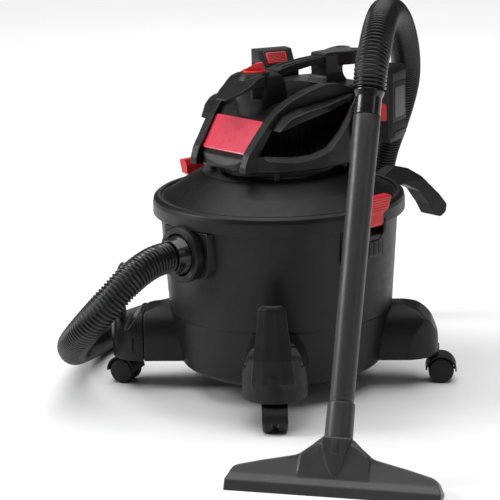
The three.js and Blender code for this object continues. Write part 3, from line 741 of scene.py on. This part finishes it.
def build_casters():
    """Each caster turns about its own stem, and its two wheels and axle turn as one."""
    for where, angle in ARM_ANGLES.items():
        place = Matrix.Rotation(math.radians(angle), 4, "Z") @ Matrix.Translation((CASTER_R, 0, 0))
        centre = place @ Vector((0, 0, 0))
        stand = Matrix.Translation(centre) @ Matrix.Rotation(math.radians(CASTER_YAW[where]), 4, "Z")
        settled(moved(caster_fork_shape(), stand), f"caster_hood_{where}", f"caster_{where}", DARK,
                [f"caster_fork_{where}"])
        pair = join(wheel_shape(-1), wheel_shape(1), along_y(rod(3, -7, 7, 24, 0)))
        moved(pair, stand @ Matrix.Translation((-TRAIL, 0, WHEEL_R)))
        settled(pair, f"twin_wheels_{where}", f"wheels_{where}", WHEEL, [f"caster_wheels_{where}"])


# ---- inlet
def build_inlet():
    """Pad and collar on the drum's front, and the hose's flared cuff in the collar."""
    pad = rounded([(-50, 279.5, 2), (-50, 206, 24), (50, 206, 24), (50, 279.5, 2)], steps=8)
    plate = bevelled(prism(pad, -189, -164, "y"), 1.2, angle=50)
    ring = rounded([
        (34, 172), (34, 186), (40, 187, 1), (43, 189.5, 2), (43, 202.5, 2), (40.5, 205, 1.6),
        (33, 205, 1.5), (31, 203, 1), (31, 172)], steps=4)
    collar = along_y(lathe(ring, 96), 0, 0, INLET_Z)
    cut(plate, along_y(rod(33, 100, 250, 96, 0), 0, 0, INLET_Z))
    keep(plate, block(-80, 80, -189.5, -172, 190, 279.8))
    join(plate, collar)
    under_lid = lathe([(150, 281.3), (195.6, 281.3), (195.6, 320), (150, 320)], 96)
    cut(plate, under_lid)
    settled(plate, "inlet_collar", "drum", BODY, ["inlet_port"])
    flare = rounded([
        (21, 186), (28, 186, 0.6), (30.2, 200, 2), (30.2, 204, 1.2), (27.2, 211, 2), (25.2, 222, 0.8),
        (21, 222, 0.5)], steps=4)
    cuff = along_y(lathe(flare, 96), 0, 0, INLET_Z)
    settled(cuff, "inlet_cuff", "drum", GLOSS, ["hose_cuff_tank"])


# ---- lid
def build_lid():
    """The lid with its rolled rim, and four pegs under the motor cover."""
    outside = [
        (LID_R - 0.6, 281, 0.4), (LID_R, 282, 0.6), (LID_R, 299, 2), (193.4, 305.5, 3),
        (188.5, 309.4, 2.5), (183.5, 309.2, 1.2), (180.6, 306.2, 1), (177, 306.8, 1.5), (150, 326, 20),
        (122.5, 342.2, 3), (117, 344.6, 2), (91, 345, 1.5), (88.5, 347, 1.5), (88.5, 359, 0.6)]
    inside = [
        (84, 359, 0.6), (84, 342, 2), (116, 341, 2), (120, 339.5, 2), (148, 323, 8), (174, 304.3, 3),
        (181, 302.5, 2), (189.5, 302, 2), (190.3, 298, 2), (190.3, 281, 0.4)]
    lid = lathe(rounded([*outside, *inside], steps=4), 224)
    for angle in (-135, -43, 43, 135):
        join(lid, turned_by(shifted(rod(6, 342, 359.4, 32), 100, 0, 0), angle))
    settled(lid, "lid_shell", "head", BODY, ["lid"])


# ---- motor cover
EYE = [
    (-106, 386, 3), (-95, 415, 6), (-45, 436, 30), (8, 449, 30), (50, 457.5, 6), (64, 459, 2),
    (46, 444, 10), (17, 412, 30), (-8, 391, 12), (-30, 384, 10), (-60, 382, 10)]


def cover_block(grow):
    """The cover's outside as a filled block: a side outline, a plan and a front outline kept together."""
    g = grow
    side = rounded([
        (-116 - g, 360), (-119 - g, 366, 3), (-112 - g, 380 + g, 6), (-107 - g, 384 + g, 3),
        (-70 - g, 431 + g, 12), (-60, 442 + g, 12), (-38, 450.5 + g, 30), (50, 463 + g, 60),
        (100, 467 + g, 30), (142, 466.5 + g, 16), (164, 455 + g, 12), (172 + g, 435, 20),
        (175 + g, 400, 40), (171 + g, 360)])
    plan = rounded(mirrored([
        (0, -119 - g), (36 + g, -116 - g, 30), (62 + g, -105 - g, 30), (90 + g, -80 - g, 40),
        (109 + g, -44, 50), (117 + g, 0, 60), (117 + g, 42, 14), (108 + g, 61 + g, 12),
        (92 + g, 70 + g, 8), (80 + g, 84, 10), (77 + g, 120, 40), (68 + g, 150, 18), (47, 169 + g, 20),
        (0, 175 + g)]))
    front = rounded(mirrored([
        (0, 480), (84, 480), (107 + g, 466 + g, 14), (117 + g, 450, 14), (118 + g, 378, 30),
        (111 + g, 340), (0, 340)]))
    return keep(prism(side, -130, 130, "x"), prism(plan, 340, 500), prism(front, -140, 190, "y"))


def build_cover():
    """Hollow outer skin with an eye-shaped opening on each side."""
    skin = mould(cover_block(0), 1.9, 5)
    inner = cover_block(-3.4)
    moved(inner, Matrix.Translation((0, 0, -8)) @ Matrix.Diagonal((1, 1, 1.013, 1)))
    cut(skin, inner)
    eye = rounded(EYE, steps=6)
    cut(skin, prism(eye, 66, 130, "x"), prism(eye, -130, -66, "x"))
    settled(skin, "cover_skin", "head", BODY, ["motor_cover"], sharp=50)


def build_motor_housing():
    """The dark ribbed shroud round the motor, seen through the openings."""
    profile = rounded([
        (0, 434, 0), (60, 434, 3), (62, 430, 2), (62, 361, 0.6), (59, 361, 0.6), (59, 429, 2),
        (0, 431, 0)], closed=False)
    housing = lathe(profile, 96)
    for k in range(24):
        rib = bevelled(prism([(61, -2), (65, -1.3), (65, 1.3), (61, 2)], 366, 426), 0.4)
        join(housing, turned_by(rib, 15 * k + 7))
    settled(housing, "motor_housing", "head", DECK, ["motor_shroud"])


def build_exhaust_duct():
    """A thin-walled box behind the shroud that follows the inside of the skin."""
    duct = keep(block(-58, 58, 10, 160, 361.5, 434), cover_block(-6))
    cut(duct, keep(block(-55, 55, 0, 157, 350, 431), cover_block(-9)), rod(62.6, 350, 440, 96, 0))
    settled(bevelled(duct, 0.8, 2, 50), "exhaust_duct", "head", DECK)


def build_eye_highlight_trim():
    """Slim raised lip along each opening's lower edge, which sweeps up to the rear, coloured light grey as
    a painted highlight on that edge.
    """
    outer = rounded([
        (-98, 384, 4), (-92, 378, 6), (-60, 374, 20), (-26, 377, 20), (0, 386, 20), (24, 407, 30),
        (50, 436, 20), (74, 456, 6), (70, 461, 3), (60, 458, 4), (44, 446, 14), (16, 413, 30),
        (-9, 392.5, 14), (-32, 386, 14), (-60, 384, 10), (-92, 386, 2)])
    for name, side in SIDES:
        lip = keep(prism(outer, 60, 125, "x"), cover_block(2.2))
        cut(lip, cover_block(-2))
        mould(lip, 0.95, 3)
        # The lip's light satin grey is a painted highlight along the opening's lower edge, not the cover's
        # own black.
        settled(on_side(lip, side), f"eye_highlight_lip_{name}", "head", SATIN)


def build_front_panel():
    """Red panel, a little crowned, with small round corners."""
    lean = math.degrees(math.atan2(45.5, 36))
    tall, half = 58.0, 56

    def crowned(p):
        rise = 1.1 * (1 - (p.x / half) ** 2) if p.z > 1.5 else 0
        return Vector((p.x, p.y, p.z + rise))

    outline = rounded(mirrored([(0, 0), (49.5, 0, 3.5), (half, tall, 3.5), (0, tall)]), steps=6)
    slab = warp(mould(prism(outline, 0, 3.4), 0.8, 3), crowned)
    shifted(turned_by(slab, lean, "X"), 0, -107, 385.6)
    settled(slab, "front_panel_shell", "head", PANEL, ["front_panel"])


def build_side_bands():
    """A raised band on each side that climbs over the cover from front to back."""
    band = rounded([
        (-123, 361, 1), (-123, 370, 8), (-116, 388, 20), (-80, 433, 30), (-66, 448, 20), (-42, 463, 30),
        (-14, 474, 40), (18, 482.5, 30), (44, 480.5, 16), (66, 472, 4), (66, 440), (-60, 400),
        (-100, 361)])
    strip = rounded([
        (49.5, -130), (49.5, -108, 10), (56.5, -72, 30), (66, -14, 50), (76, 30, 40), (81, 70, 2),
        (97, 70, 3), (93, 26, 30), (84, -20, 50), (74, -66, 30), (66.5, -104, 14), (63, -130)])
    for name, side in SIDES:
        shape = keep(prism(band, 40, 110, "x"), prism(strip, 350, 500))
        cut(shape, cover_block(-0.6))
        mould(shape, 0.95, 4)
        settled(on_side(shape, side), f"side_band_shell_{name}", "head", BODY, [f"side_band_{name}"])


# ---- hub, dial, handle and rear post
def hub_shape():
    """Oval switch hub, drawn in at its front, with a squarer back that runs into the handle."""
    def slim_front(p):
        share = min(1, max(0.7, 0.7 + (p.z - 446) / 110)) if p.y < 0 else 1
        return Vector((p.x, p.y * share, p.z))

    profile = rounded([
        (0, 425), (33, 425, 1), (32.6, 446, 4), (32, 462, 20), (30, 480, 14), (25.5, 494, 8),
        (21.4, 500.4, 1.6), (0, 500.4)], closed=False)
    hub = shifted(warp(lathe(profile, 128), slim_front), 0, DIAL_Y, 0)
    side = rounded([(-50, 425), (-50, 500), (-24, 500, 6), (-12, 495, 8), (-8, 480, 12), (-7, 430, 1)])
    front = rounded(mirrored([
        (0, 500.2), (15, 499.6, 12), (25, 494, 9), (30, 480, 16), (32, 465, 20), (33, 420), (0, 420)]))
    return join(hub, keep(prism(side, -40, 40, "x"), prism(front, -100, 0, "y")))


def beak_shape():
    """Broad thin beak from the hub over the front band."""
    side = rounded([
        (-113.5, 463.6, 1.6), (-112.6, 467.4, 1.8), (-96, 476, 14), (-80, 484, 14), (-66, 494, 8),
        (-50, 498), (-50, 480), (-78, 479, 8), (-96, 471.4, 14)])
    plan = rounded(mirrored([
        (0, -114), (12, -113, 4), (24, -96, 16), (30.5, -76, 14), (30.5, -46), (0, -46)]))
    return keep(prism(side, -40, 40, "x"), prism(plan, 440, 500))


def build_hub():
    """The hub and its beak, with a fin under each side of the beak and a seat for the dial."""
    fins = [block(x - 2.8, x + 2.8, -75, -50, 464, 484) for x in (-27, 27)]
    hub = join(hub_shape(), beak_shape(), *fins)
    cut(hub, shifted(rod(19.6, 497.2, 520, 64, 0), 0, DIAL_Y, 0))
    mould(hub, 0.8, 7)
    settled(hub, "hub_shell", "head", BODY, ["switch_hub"])


def build_dial():
    """Thin disc with a notched edge, let into the hub, and a wedge-shaped finger grip set across it."""
    profile = rounded([
        (0, 498.2), (17, 498.2, 0.6), (18.4, 498.8, 0.5), (18.4, 501.8, 0.8), (17.6, 502.8, 0.8),
        (14, 502.8, 0.6), (13, 502.2, 0.5), (0, 502.2)], closed=False, steps=4)
    disc = lathe(profile, 96)
    for k in range(36):
        cut(disc, turned_by(shifted(rod(0.7, 495, 512, 12, 0), 18.7, 0, 0), 10 * k))
    side = rounded([
        (-17.5, 500), (-15, 503, 2), (4, 512.6, 6), (14, 514.4, 4), (17.3, 506, 4), (17.3, 500)])
    plan = rounded([
        (-2.4, -17.5, 1.5), (2.4, -17.5, 1.5), (5.6, 10, 4), (4.6, 17, 3), (-4.6, 17, 3), (-5.6, 10, 4)])
    grip = bevelled(keep(prism(side, -9, 9, "x"), prism(plan, 498, 520)), 0.7)
    mould(grip, 0.5, 2)
    join(disc, turned_by(grip, -38))
    settled(shifted(disc, 0, DIAL_Y, 0), "dial_shell", "dial", RED, ["power_dial"])


def build_handle():
    """Channel-like carrying bar with a raised middle ridge and rolled edges."""
    side = rounded([
        (-9, 489, 1), (-9, 498.5, 1), (20, 503.5, 30), (60, 507, 40), (89, 508, 1), (89, 498, 1),
        (60, 496.8, 40), (20, 493, 30), (2, 489.4, 6)])
    front = rounded(mirrored([(0, 540), (10.5, 540), (14.6, 500, 4), (15, 480), (0, 480)]))
    bar = keep(prism(side, -16, 16, "x"), prism(front, -20, 100, "y"))
    groove = rounded([(6, 499), (6, 540), (82, 540), (82, 504.8, 4), (60, 503.8, 20), (20, 500.4, 20)])
    for x in (-7.6, 7.6):
        cut(bar, prism(groove, x - 2.2, x + 2.2, "x"))
    mould(bar, 0.7, 3)
    settled(bar, "handle_shell", "head", DARK, ["handle_bar"])


def hook_plate():
    """Plate that ends in two round lobes, to hold what is hung over it."""
    outline = [(-16, 112, 3), (-27, 138, 8)]
    for middle, start, stop in ((-17, 185, 25), (17, 155, -5)):
        for k in range(10):
            a = math.radians(start + (stop - start) * k / 9)
            outline.append((middle + 14 * math.cos(a), 155 + 14 * math.sin(a), 0))
    outline += [(27, 138, 8), (16, 112, 3)]
    return bevelled(prism(rounded(outline), 491, 513), 2.6, 3, 40)


def build_rear_post():
    """Post that carries the handle's rear end, with the hook plate behind it."""
    side = rounded([
        (80, 455), (82, 466, 8), (88.5, 476, 10), (88, 513, 2.5), (120, 513, 5), (124.5, 504, 4),
        (125, 476, 14), (133, 462, 8), (134, 455)])
    plan = rounded(mirrored([(0, 80), (22, 80, 8), (23, 130, 10), (0, 134)]))
    front = rounded(mirrored([
        (0, 516), (15, 516), (17, 510, 3), (17, 480, 10), (23, 464, 6), (23, 450), (0, 450)]))
    post = keep(prism(side, -30, 30, "x"), prism(plan, 450, 520), prism(front, 70, 140, "y"))
    join(post, hook_plate())
    cut(post, *[shifted(rod(6.5, 511.2, 520, 32, 0), x, 153, 0) for x in (-17, 17)])
    cut(post, cover_block(-0.5))
    mould(post, 0.85, 3)
    settled(post, "rear_post_shell", "head", BODY, ["rear_post"])


def build_deck():
    """The sunken deck between the side bands: a coarse-textured plate with a small square hatch."""
    outline = rounded(mirrored([
        (0, -52), (44, -52, 4), (62, 8, 20), (72, 60, 6), (60, 66, 5), (30, 82, 10), (0, 82)]))
    plate = keep(prism(outline, 430, 500), cover_block(0.9))
    cut(plate, cover_block(-1.2))
    cut(plate, prism(rounded(mirrored([(0, -84), (31.5, -84, 6), (31.5, -5.5, 6), (0, -5.5)])), 430, 520))
    mould(plate, 1.2, 1)
    settled(plate, "deck_skin", "head", DECK)
    hatch = bevelled(prism(rounded([(34, 6, 2), (50, 8, 2), (52, 26, 2), (36, 24, 2)]), 455, 463.4), 0.8)
    settled(hatch, "deck_hatch", "head", BODY)


# ---- battery packs
def pack_place(side):
    """Where a pack's own frame stands: its foot's middle, turned a little outwards."""
    turn = Matrix.Rotation(math.radians(side * PACK_YAW), 4, "Z")
    return Matrix.Translation((side * PACK_PLACE[0], PACK_PLACE[1], PACK_PLACE[2])) @ turn


def chamfer_place():
    """A frame on the pack's inner chamfer: x points into the pack and z up the slope."""
    return Matrix.Translation((-16.5, 0, 93)) @ Matrix.Rotation(math.atan2(17, 26), 4, "Y")


def pack_shell():
    """A pack's housing with a well for its button in the chamfer, and two fine seam grooves."""
    side = rounded([
        (-25, 0, 2), (25, 0, 2), (25, 98, 3), (19, 106, 3), (-8, 106, 2), (-25, 80, 3)], steps=3)
    plan = rounded(mirrored([
        (0, -29), (20, -29, 2), (25, -24, 2), (25, 24, 2), (20, 29, 2), (0, 29)]), steps=3)
    shell = keep(prism(side, -29, 29, "y"), prism(plan, -1, 107))
    cut(shell, moved(block(-8, 5, -18, 18, -11, 11), chamfer_place()))
    for z in (22, 84):
        cut(shell, block(24.2, 26, -30, 30, z, z + 1), block(-26, 30, -30, -28.3, z, z + 1),
            block(-26, 30, 28.3, 30, z, z + 1))
    return bevelled(shell, 0.9, 2, 40)


def pack_plate():
    """Plain plate on the pack's outer face."""
    outline = rounded([(-17, 30, 4), (17, 30, 4), (17, 76, 4), (-17, 76, 4)])
    return bevelled(prism(outline, 24.9, 25.7, "x"), 0.3)


def pack_stripe(front):
    """Plain stripe on the pack's front (-1) or rear (1) face."""
    outline = rounded([(-19, 26, 3), (17, 26, 3), (17, 52, 3), (-19, 60, 3)])
    return bevelled(prism(outline, 28.9 * front, 29.6 * front, "y"), 0.25)


def pack_foot():
    outline = rounded([(-27, 0.4), (26.4, 0.4, 2), (26.4, 9, 2), (-27, 9)])
    return bevelled(prism(outline, -22, 22, "y"), 0.8)


def pack_button():
    """Release button with seven ribs across it."""
    button = block(-2.2, 1.2, -17.2, 17.2, -10.2, 10.2)
    for k in range(-3, 4):
        join(button, block(-3.1, -1.8, -14, 14, 2.6 * k - 0.7, 2.6 * k + 0.7))
    return moved(bevelled(button, 0.45, 2, 40), chamfer_place())


def pack_button_rim():
    rim = cut(block(-1.4, 1.5, -20.6, 20.6, -13.2, 13.2), block(-5, 5, -18.2, 18.2, -11, 11))
    return moved(bevelled(rim, 0.5, 2, 40), chamfer_place())


def pack_dock(side):
    """Dock beside the pack with a shelf under it, cut back to the cover's skin."""
    dock = join(block(-46, -25.8, -26, 26, 2, 78), block(-46, 20, -24, 24, -8, -0.5))
    cut(moved(on_side(dock, side), pack_place(side)), cover_block(-1))
    return bevelled(dock, 1.2, 3, 40)


def build_packs():
    """Each pack's pieces are shaped in its own frame. The left ones are mirrored, then placed."""
    for name, side in SIDES:
        pack = f"battery_{name}"

        def put(shape, label, body, material, replaces=()):
            moved(on_side(shape, side), pack_place(side))
            settled(shape, f"{label}_{name}", body, material, replaces)

        put(pack_shell(), "pack_shell", pack, DARK, [pack])
        put(pack_plate(), "pack_plate", pack, LABEL)
        put(pack_stripe(-1), "pack_stripe_front", pack, RED)
        put(pack_stripe(1), "pack_stripe_rear", pack, RED)
        put(pack_foot(), "pack_foot", pack, BODY)
        button = f"battery_button_{name}"
        put(pack_button(), "pack_button", button, RED, [button])
        put(pack_button_rim(), "pack_button_rim", pack, BODY)
        settled(pack_dock(side), f"dock_shell_{name}", "head", BODY, [f"battery_dock_{name}"])


# ---- latches and rear hook
def latch_shape():
    """A narrow shank that widens into a ribbed grip, flaring outwards at the top."""
    px, pz = LATCH_PIN
    profile = rounded([
        (px - 5, pz - 5, 4), (px + 4, pz - 6, 4), (px + 7, pz, 4), (px + 7, 303, 8), (px + 15, 330, 2),
        (px + 1, 331.5, 2), (px - 4, 322, 6), (px - 5, 305, 4)])
    width = rounded(mirrored([
        (0, 280), (12.8, 280, 2), (12.8, 303, 4), (22.5, 309, 3), (22.5, 332, 3), (0, 332)]))
    shape = keep(prism(profile, -30, 30, "y"), prism(width, 190, 230, "x"))
    slant = math.atan2(8, 27)
    for k in range(5):
        z = 309.5 + 4.1 * k
        x = px + 7.6 + (z - 303) * math.tan(slant)
        place = Matrix.Translation((x, 0, z)) @ Matrix.Rotation(slant, 4, "Y")
        cut(shape, moved(block(-1.3, 3, -18.5, 18.5, -0.95, 0.95), place))
    mould(shape, 0.55, 2)
    cut(shape, along_y(rod(2.9, -30, 30, 32, 0), px, 0, pz))
    return shifted(shape, 0, LATCH_Y, 0)


def build_latches():
    px, pz = LATCH_PIN
    for name, side in SIDES:
        latch = on_side(latch_shape(), side)
        pin = on_side(along_y(rod(2.4, -19.4, 19.4, 32), px, LATCH_Y, pz), side)
        settled(latch, f"latch_shell_{name}", f"latch_{name}", RED, [f"latch_{name}"])
        settled(pin, f"latch_pin_rod_{name}", "drum", STEEL, [f"latch_pin_{name}"])


def build_rear_hook():
    """Arm that reaches out behind the drum and ends in three finger lobes over the hose rest."""
    profile = rounded([
        (183, 268, 2), (200, 276, 8), (222, 300, 14), (246, 310, 14), (275, 302, 20), (303, 285, 30),
        (341, 250, 20), (360, 229, 8), (357, 216, 6), (345, 210, 6), (332, 214, 6), (318, 236, 20),
        (296, 262, 20), (262, 278, 16), (240, 276, 12), (222, 258, 14), (206, 232, 10), (183, 222, 2)])
    ridge = rounded(mirrored([(0, 330), (9, 312, 12), (14.5, 280, 20), (17, 240, 20), (17, 190), (0, 190)]))
    groove = rounded([
        (300, 262, 4), (326, 228, 4), (340, 200, 2), (372, 200), (372, 232), (352, 250, 6),
        (322, 282, 8)])
    hook = keep(prism(profile, -20, 20, "x"), prism(ridge, 180, 380, "y"))
    for x in (-6, 6):
        cut(hook, prism(groove, x - 1.1, x + 1.1, "x"))
    mould(hook, 0.9, 4)
    settled(hook, "rear_hook_arm", "drum", BODY, ["rear_hook"])

    pad = rounded([(-30, 214, 8), (30, 214, 8), (30, 276, 3), (-30, 276, 3)])
    bracket = keep(prism(pad, 150, 191, "y"), block(-40, 40, 172, 189.5, 200, 280))
    for x in (-22, 22):
        join(bracket, along_y(rod(3.4, -191, -180, 24, 0.8), x, 0, 245))
    bevelled(bracket, 1, 2, 50)
    settled(bracket, "rear_hook_bracket", "drum", BODY)


# ---- wand and floor nozzle
def wand_frame():
    """The wand's own frame: z up its axis from the floor, x along the nozzle's lip."""
    up = (WAND_TOP - WAND_FOOT).normalized()
    across = (LIP_DIRECTION - up * LIP_DIRECTION.dot(up)).normalized()
    back = up.cross(across)
    return Matrix.Translation(WAND_FOOT) @ Matrix((across, back, up)).transposed().to_4x4()


def build_wand():
    """Two tubes that push into each other, and the hose's cuff at the top, which is handed back."""
    top = WAND_LENGTH

    def tube(profile):
        return moved(lathe(rounded(profile, steps=3), 96), wand_frame())

    cuff = tube([
        (17.4, top - 37.5, 0.4), (18.9, top - 37.5, 0.5), (18.9, top - 12, 6), (21.5, top - 4, 2),
        (21.5, top - 1.5, 0.8), (17.4, top - 1.5, 0.5)])
    settled(cuff, "wand_cuff", "drum", GLOSS, ["hose_cuff_wand"])
    upper = tube([
        (14.5, top - 76), (16.6, top - 76, 0.4), (16.8, top - 40, 5), (17.0, top - 4, 0.5),
        (14.5, top - 4, 0.4)])
    settled(upper, "wand_top_tube", "drum", BODY, ["wand_upper"])
    lower = tube([
        (14, top - 470), (16.2, top - 470, 0.6), (16.4, top - 441, 1), (17, top - 440, 0.6),
        (18.6, top - 110, 60), (19.4, top - 62, 3), (19.4, top - 39, 0.9), (17.6, top - 38, 0.6),
        (17.4, top - 80, 1), (14, top - 82, 1)])
    settled(lower, "wand_long_tube", "drum", SATIN, ["wand_lower"])
    return cuff


def crossed(front, side, half_width):
    """What two outlines share in the wand's frame: one seen from the front and one from the side."""
    return keep(prism(front, -30, 30, "y"), prism(side, -half_width, half_width, "x"))


def nozzle_wings():
    fan = rounded(mirrored([
        (0, -30), (NOZZLE_HALF, -30), (NOZZLE_HALF, 5, 5), (141, 25, 16), (100, 35.5, 40), (52, 46, 30),
        (33, 61, 20), (21, 72, 10), (0, 76)]))
    wedge = rounded(mirrored([
        (0, 90), (9, 90), (12, 40, 20), (17, 14, 14), (21.5, 4, 3), (22, -30), (0, -30)]))
    return crossed(fan, wedge, 200)


def nozzle_boss():
    """An arch over the middle of the wings."""
    arch = [(0, -28), (49, -28)]
    for k in range(13):
        a = math.radians(7.5 * k)
        arch.append((49 * math.cos(a), 38 + 28 * math.sin(a)))
    side = rounded(mirrored([
        (0, 70), (13.5, 70, 3), (15.5, 40, 20), (17.4, 13, 12), (21.5, -6), (21.5, -30), (0, -30)]))
    return crossed(mirrored(arch), side, 60)


def nozzle_tongue():
    """A pointed tongue that runs down the boss from under the collar."""
    tongue = rounded([
        (-19.5, 72, 1), (-18.5, 60, 12), (-10, 34, 16), (0, 16, 2), (10, 34, 16), (18.5, 60, 12),
        (19.5, 72, 1)])
    side = rounded([(0, 72), (-20.6, 72, 1), (-20, 58, 16), (-18.6, 34, 16), (-18.2, 10, 4), (0, 10)])
    return crossed(tongue, side, 60)


def nozzle_mouth():
    """The hollow inside the wings, open to the floor."""
    inner = rounded(mirrored([
        (0, -40), (NOZZLE_HALF - 4, -40), (NOZZLE_HALF - 4, 3, 4), (136, 19, 10), (48, 38, 20), (0, 56)]))
    gape = rounded(mirrored([(0, 58), (6, 56, 2), (9, 26, 6), (13.5, 8, 6), (17, -40), (0, -40)]))
    return crossed(inner, gape, 200)


def nozzle_collar():
    """The neck over the wand's lower end."""
    top = WAND_LENGTH
    profile = rounded([
        (0, 48), (20.4, 48), (21, 64, 4), (20.9, 70, 1.2), (19.8, 71.5, 1), (19.0, top - 448, 30),
        (18.9, top - 446, 0.8), (16.9, top - 446, 0.4), (16.8, 74, 1), (0, 74)], closed=False, steps=3)
    return lathe(profile, 96)


def build_nozzle():
    """Fan-shaped floor nozzle: thin sloping wings and an arched boss that holds the wand."""
    shell = join(nozzle_wings(), nozzle_boss(), nozzle_tongue())
    cut(shell, nozzle_mouth())
    mould(shell, 1.15, 6)
    join(shell, nozzle_collar())
    moved(shell, wand_frame())
    keep(shell, block(150, 700, -560, -60, 0.2, 300))
    settled(shell, "nozzle_shell", "drum", SATIN, ["floor_nozzle"])


# ---- pieces that keep their CAD shape
def dress_inside():
    """Gives the inner pieces, which keep their CAD shape, their materials."""
    looks = {
        "inlet_deflector": DARK, "lid_seal": RUBBER, "motor_plate": DARK, "motor": MOTOR,
        "impeller": STEEL, "impeller_housing": DARK, "control_board": BOARD, "filter_cage": DARK,
        "float_ball": LABEL, "filter": FILTER, "filter_retainer": SATIN,
    }
    for node, material in looks.items():
        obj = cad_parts[node]
        obj.data.materials.clear()
        obj.data.materials.append(material)
        obj.data.shade_smooth()
        obj.data.set_sharp_from_angle(angle=math.radians(30))


make_camera()
make_floor()
make_lights()
build_hose(build_wand())
build_drum()
build_arms()
build_latch_seats()
build_foot_caps()
build_casters()
build_inlet()
build_lid()
build_cover()
build_motor_housing()
build_exhaust_duct()
build_eye_highlight_trim()
build_front_panel()
build_side_bands()
build_hub()
build_dial()
build_handle()
build_rear_post()
build_deck()
build_packs()
build_latches()
build_rear_hook()
build_nozzle()
dress_inside()
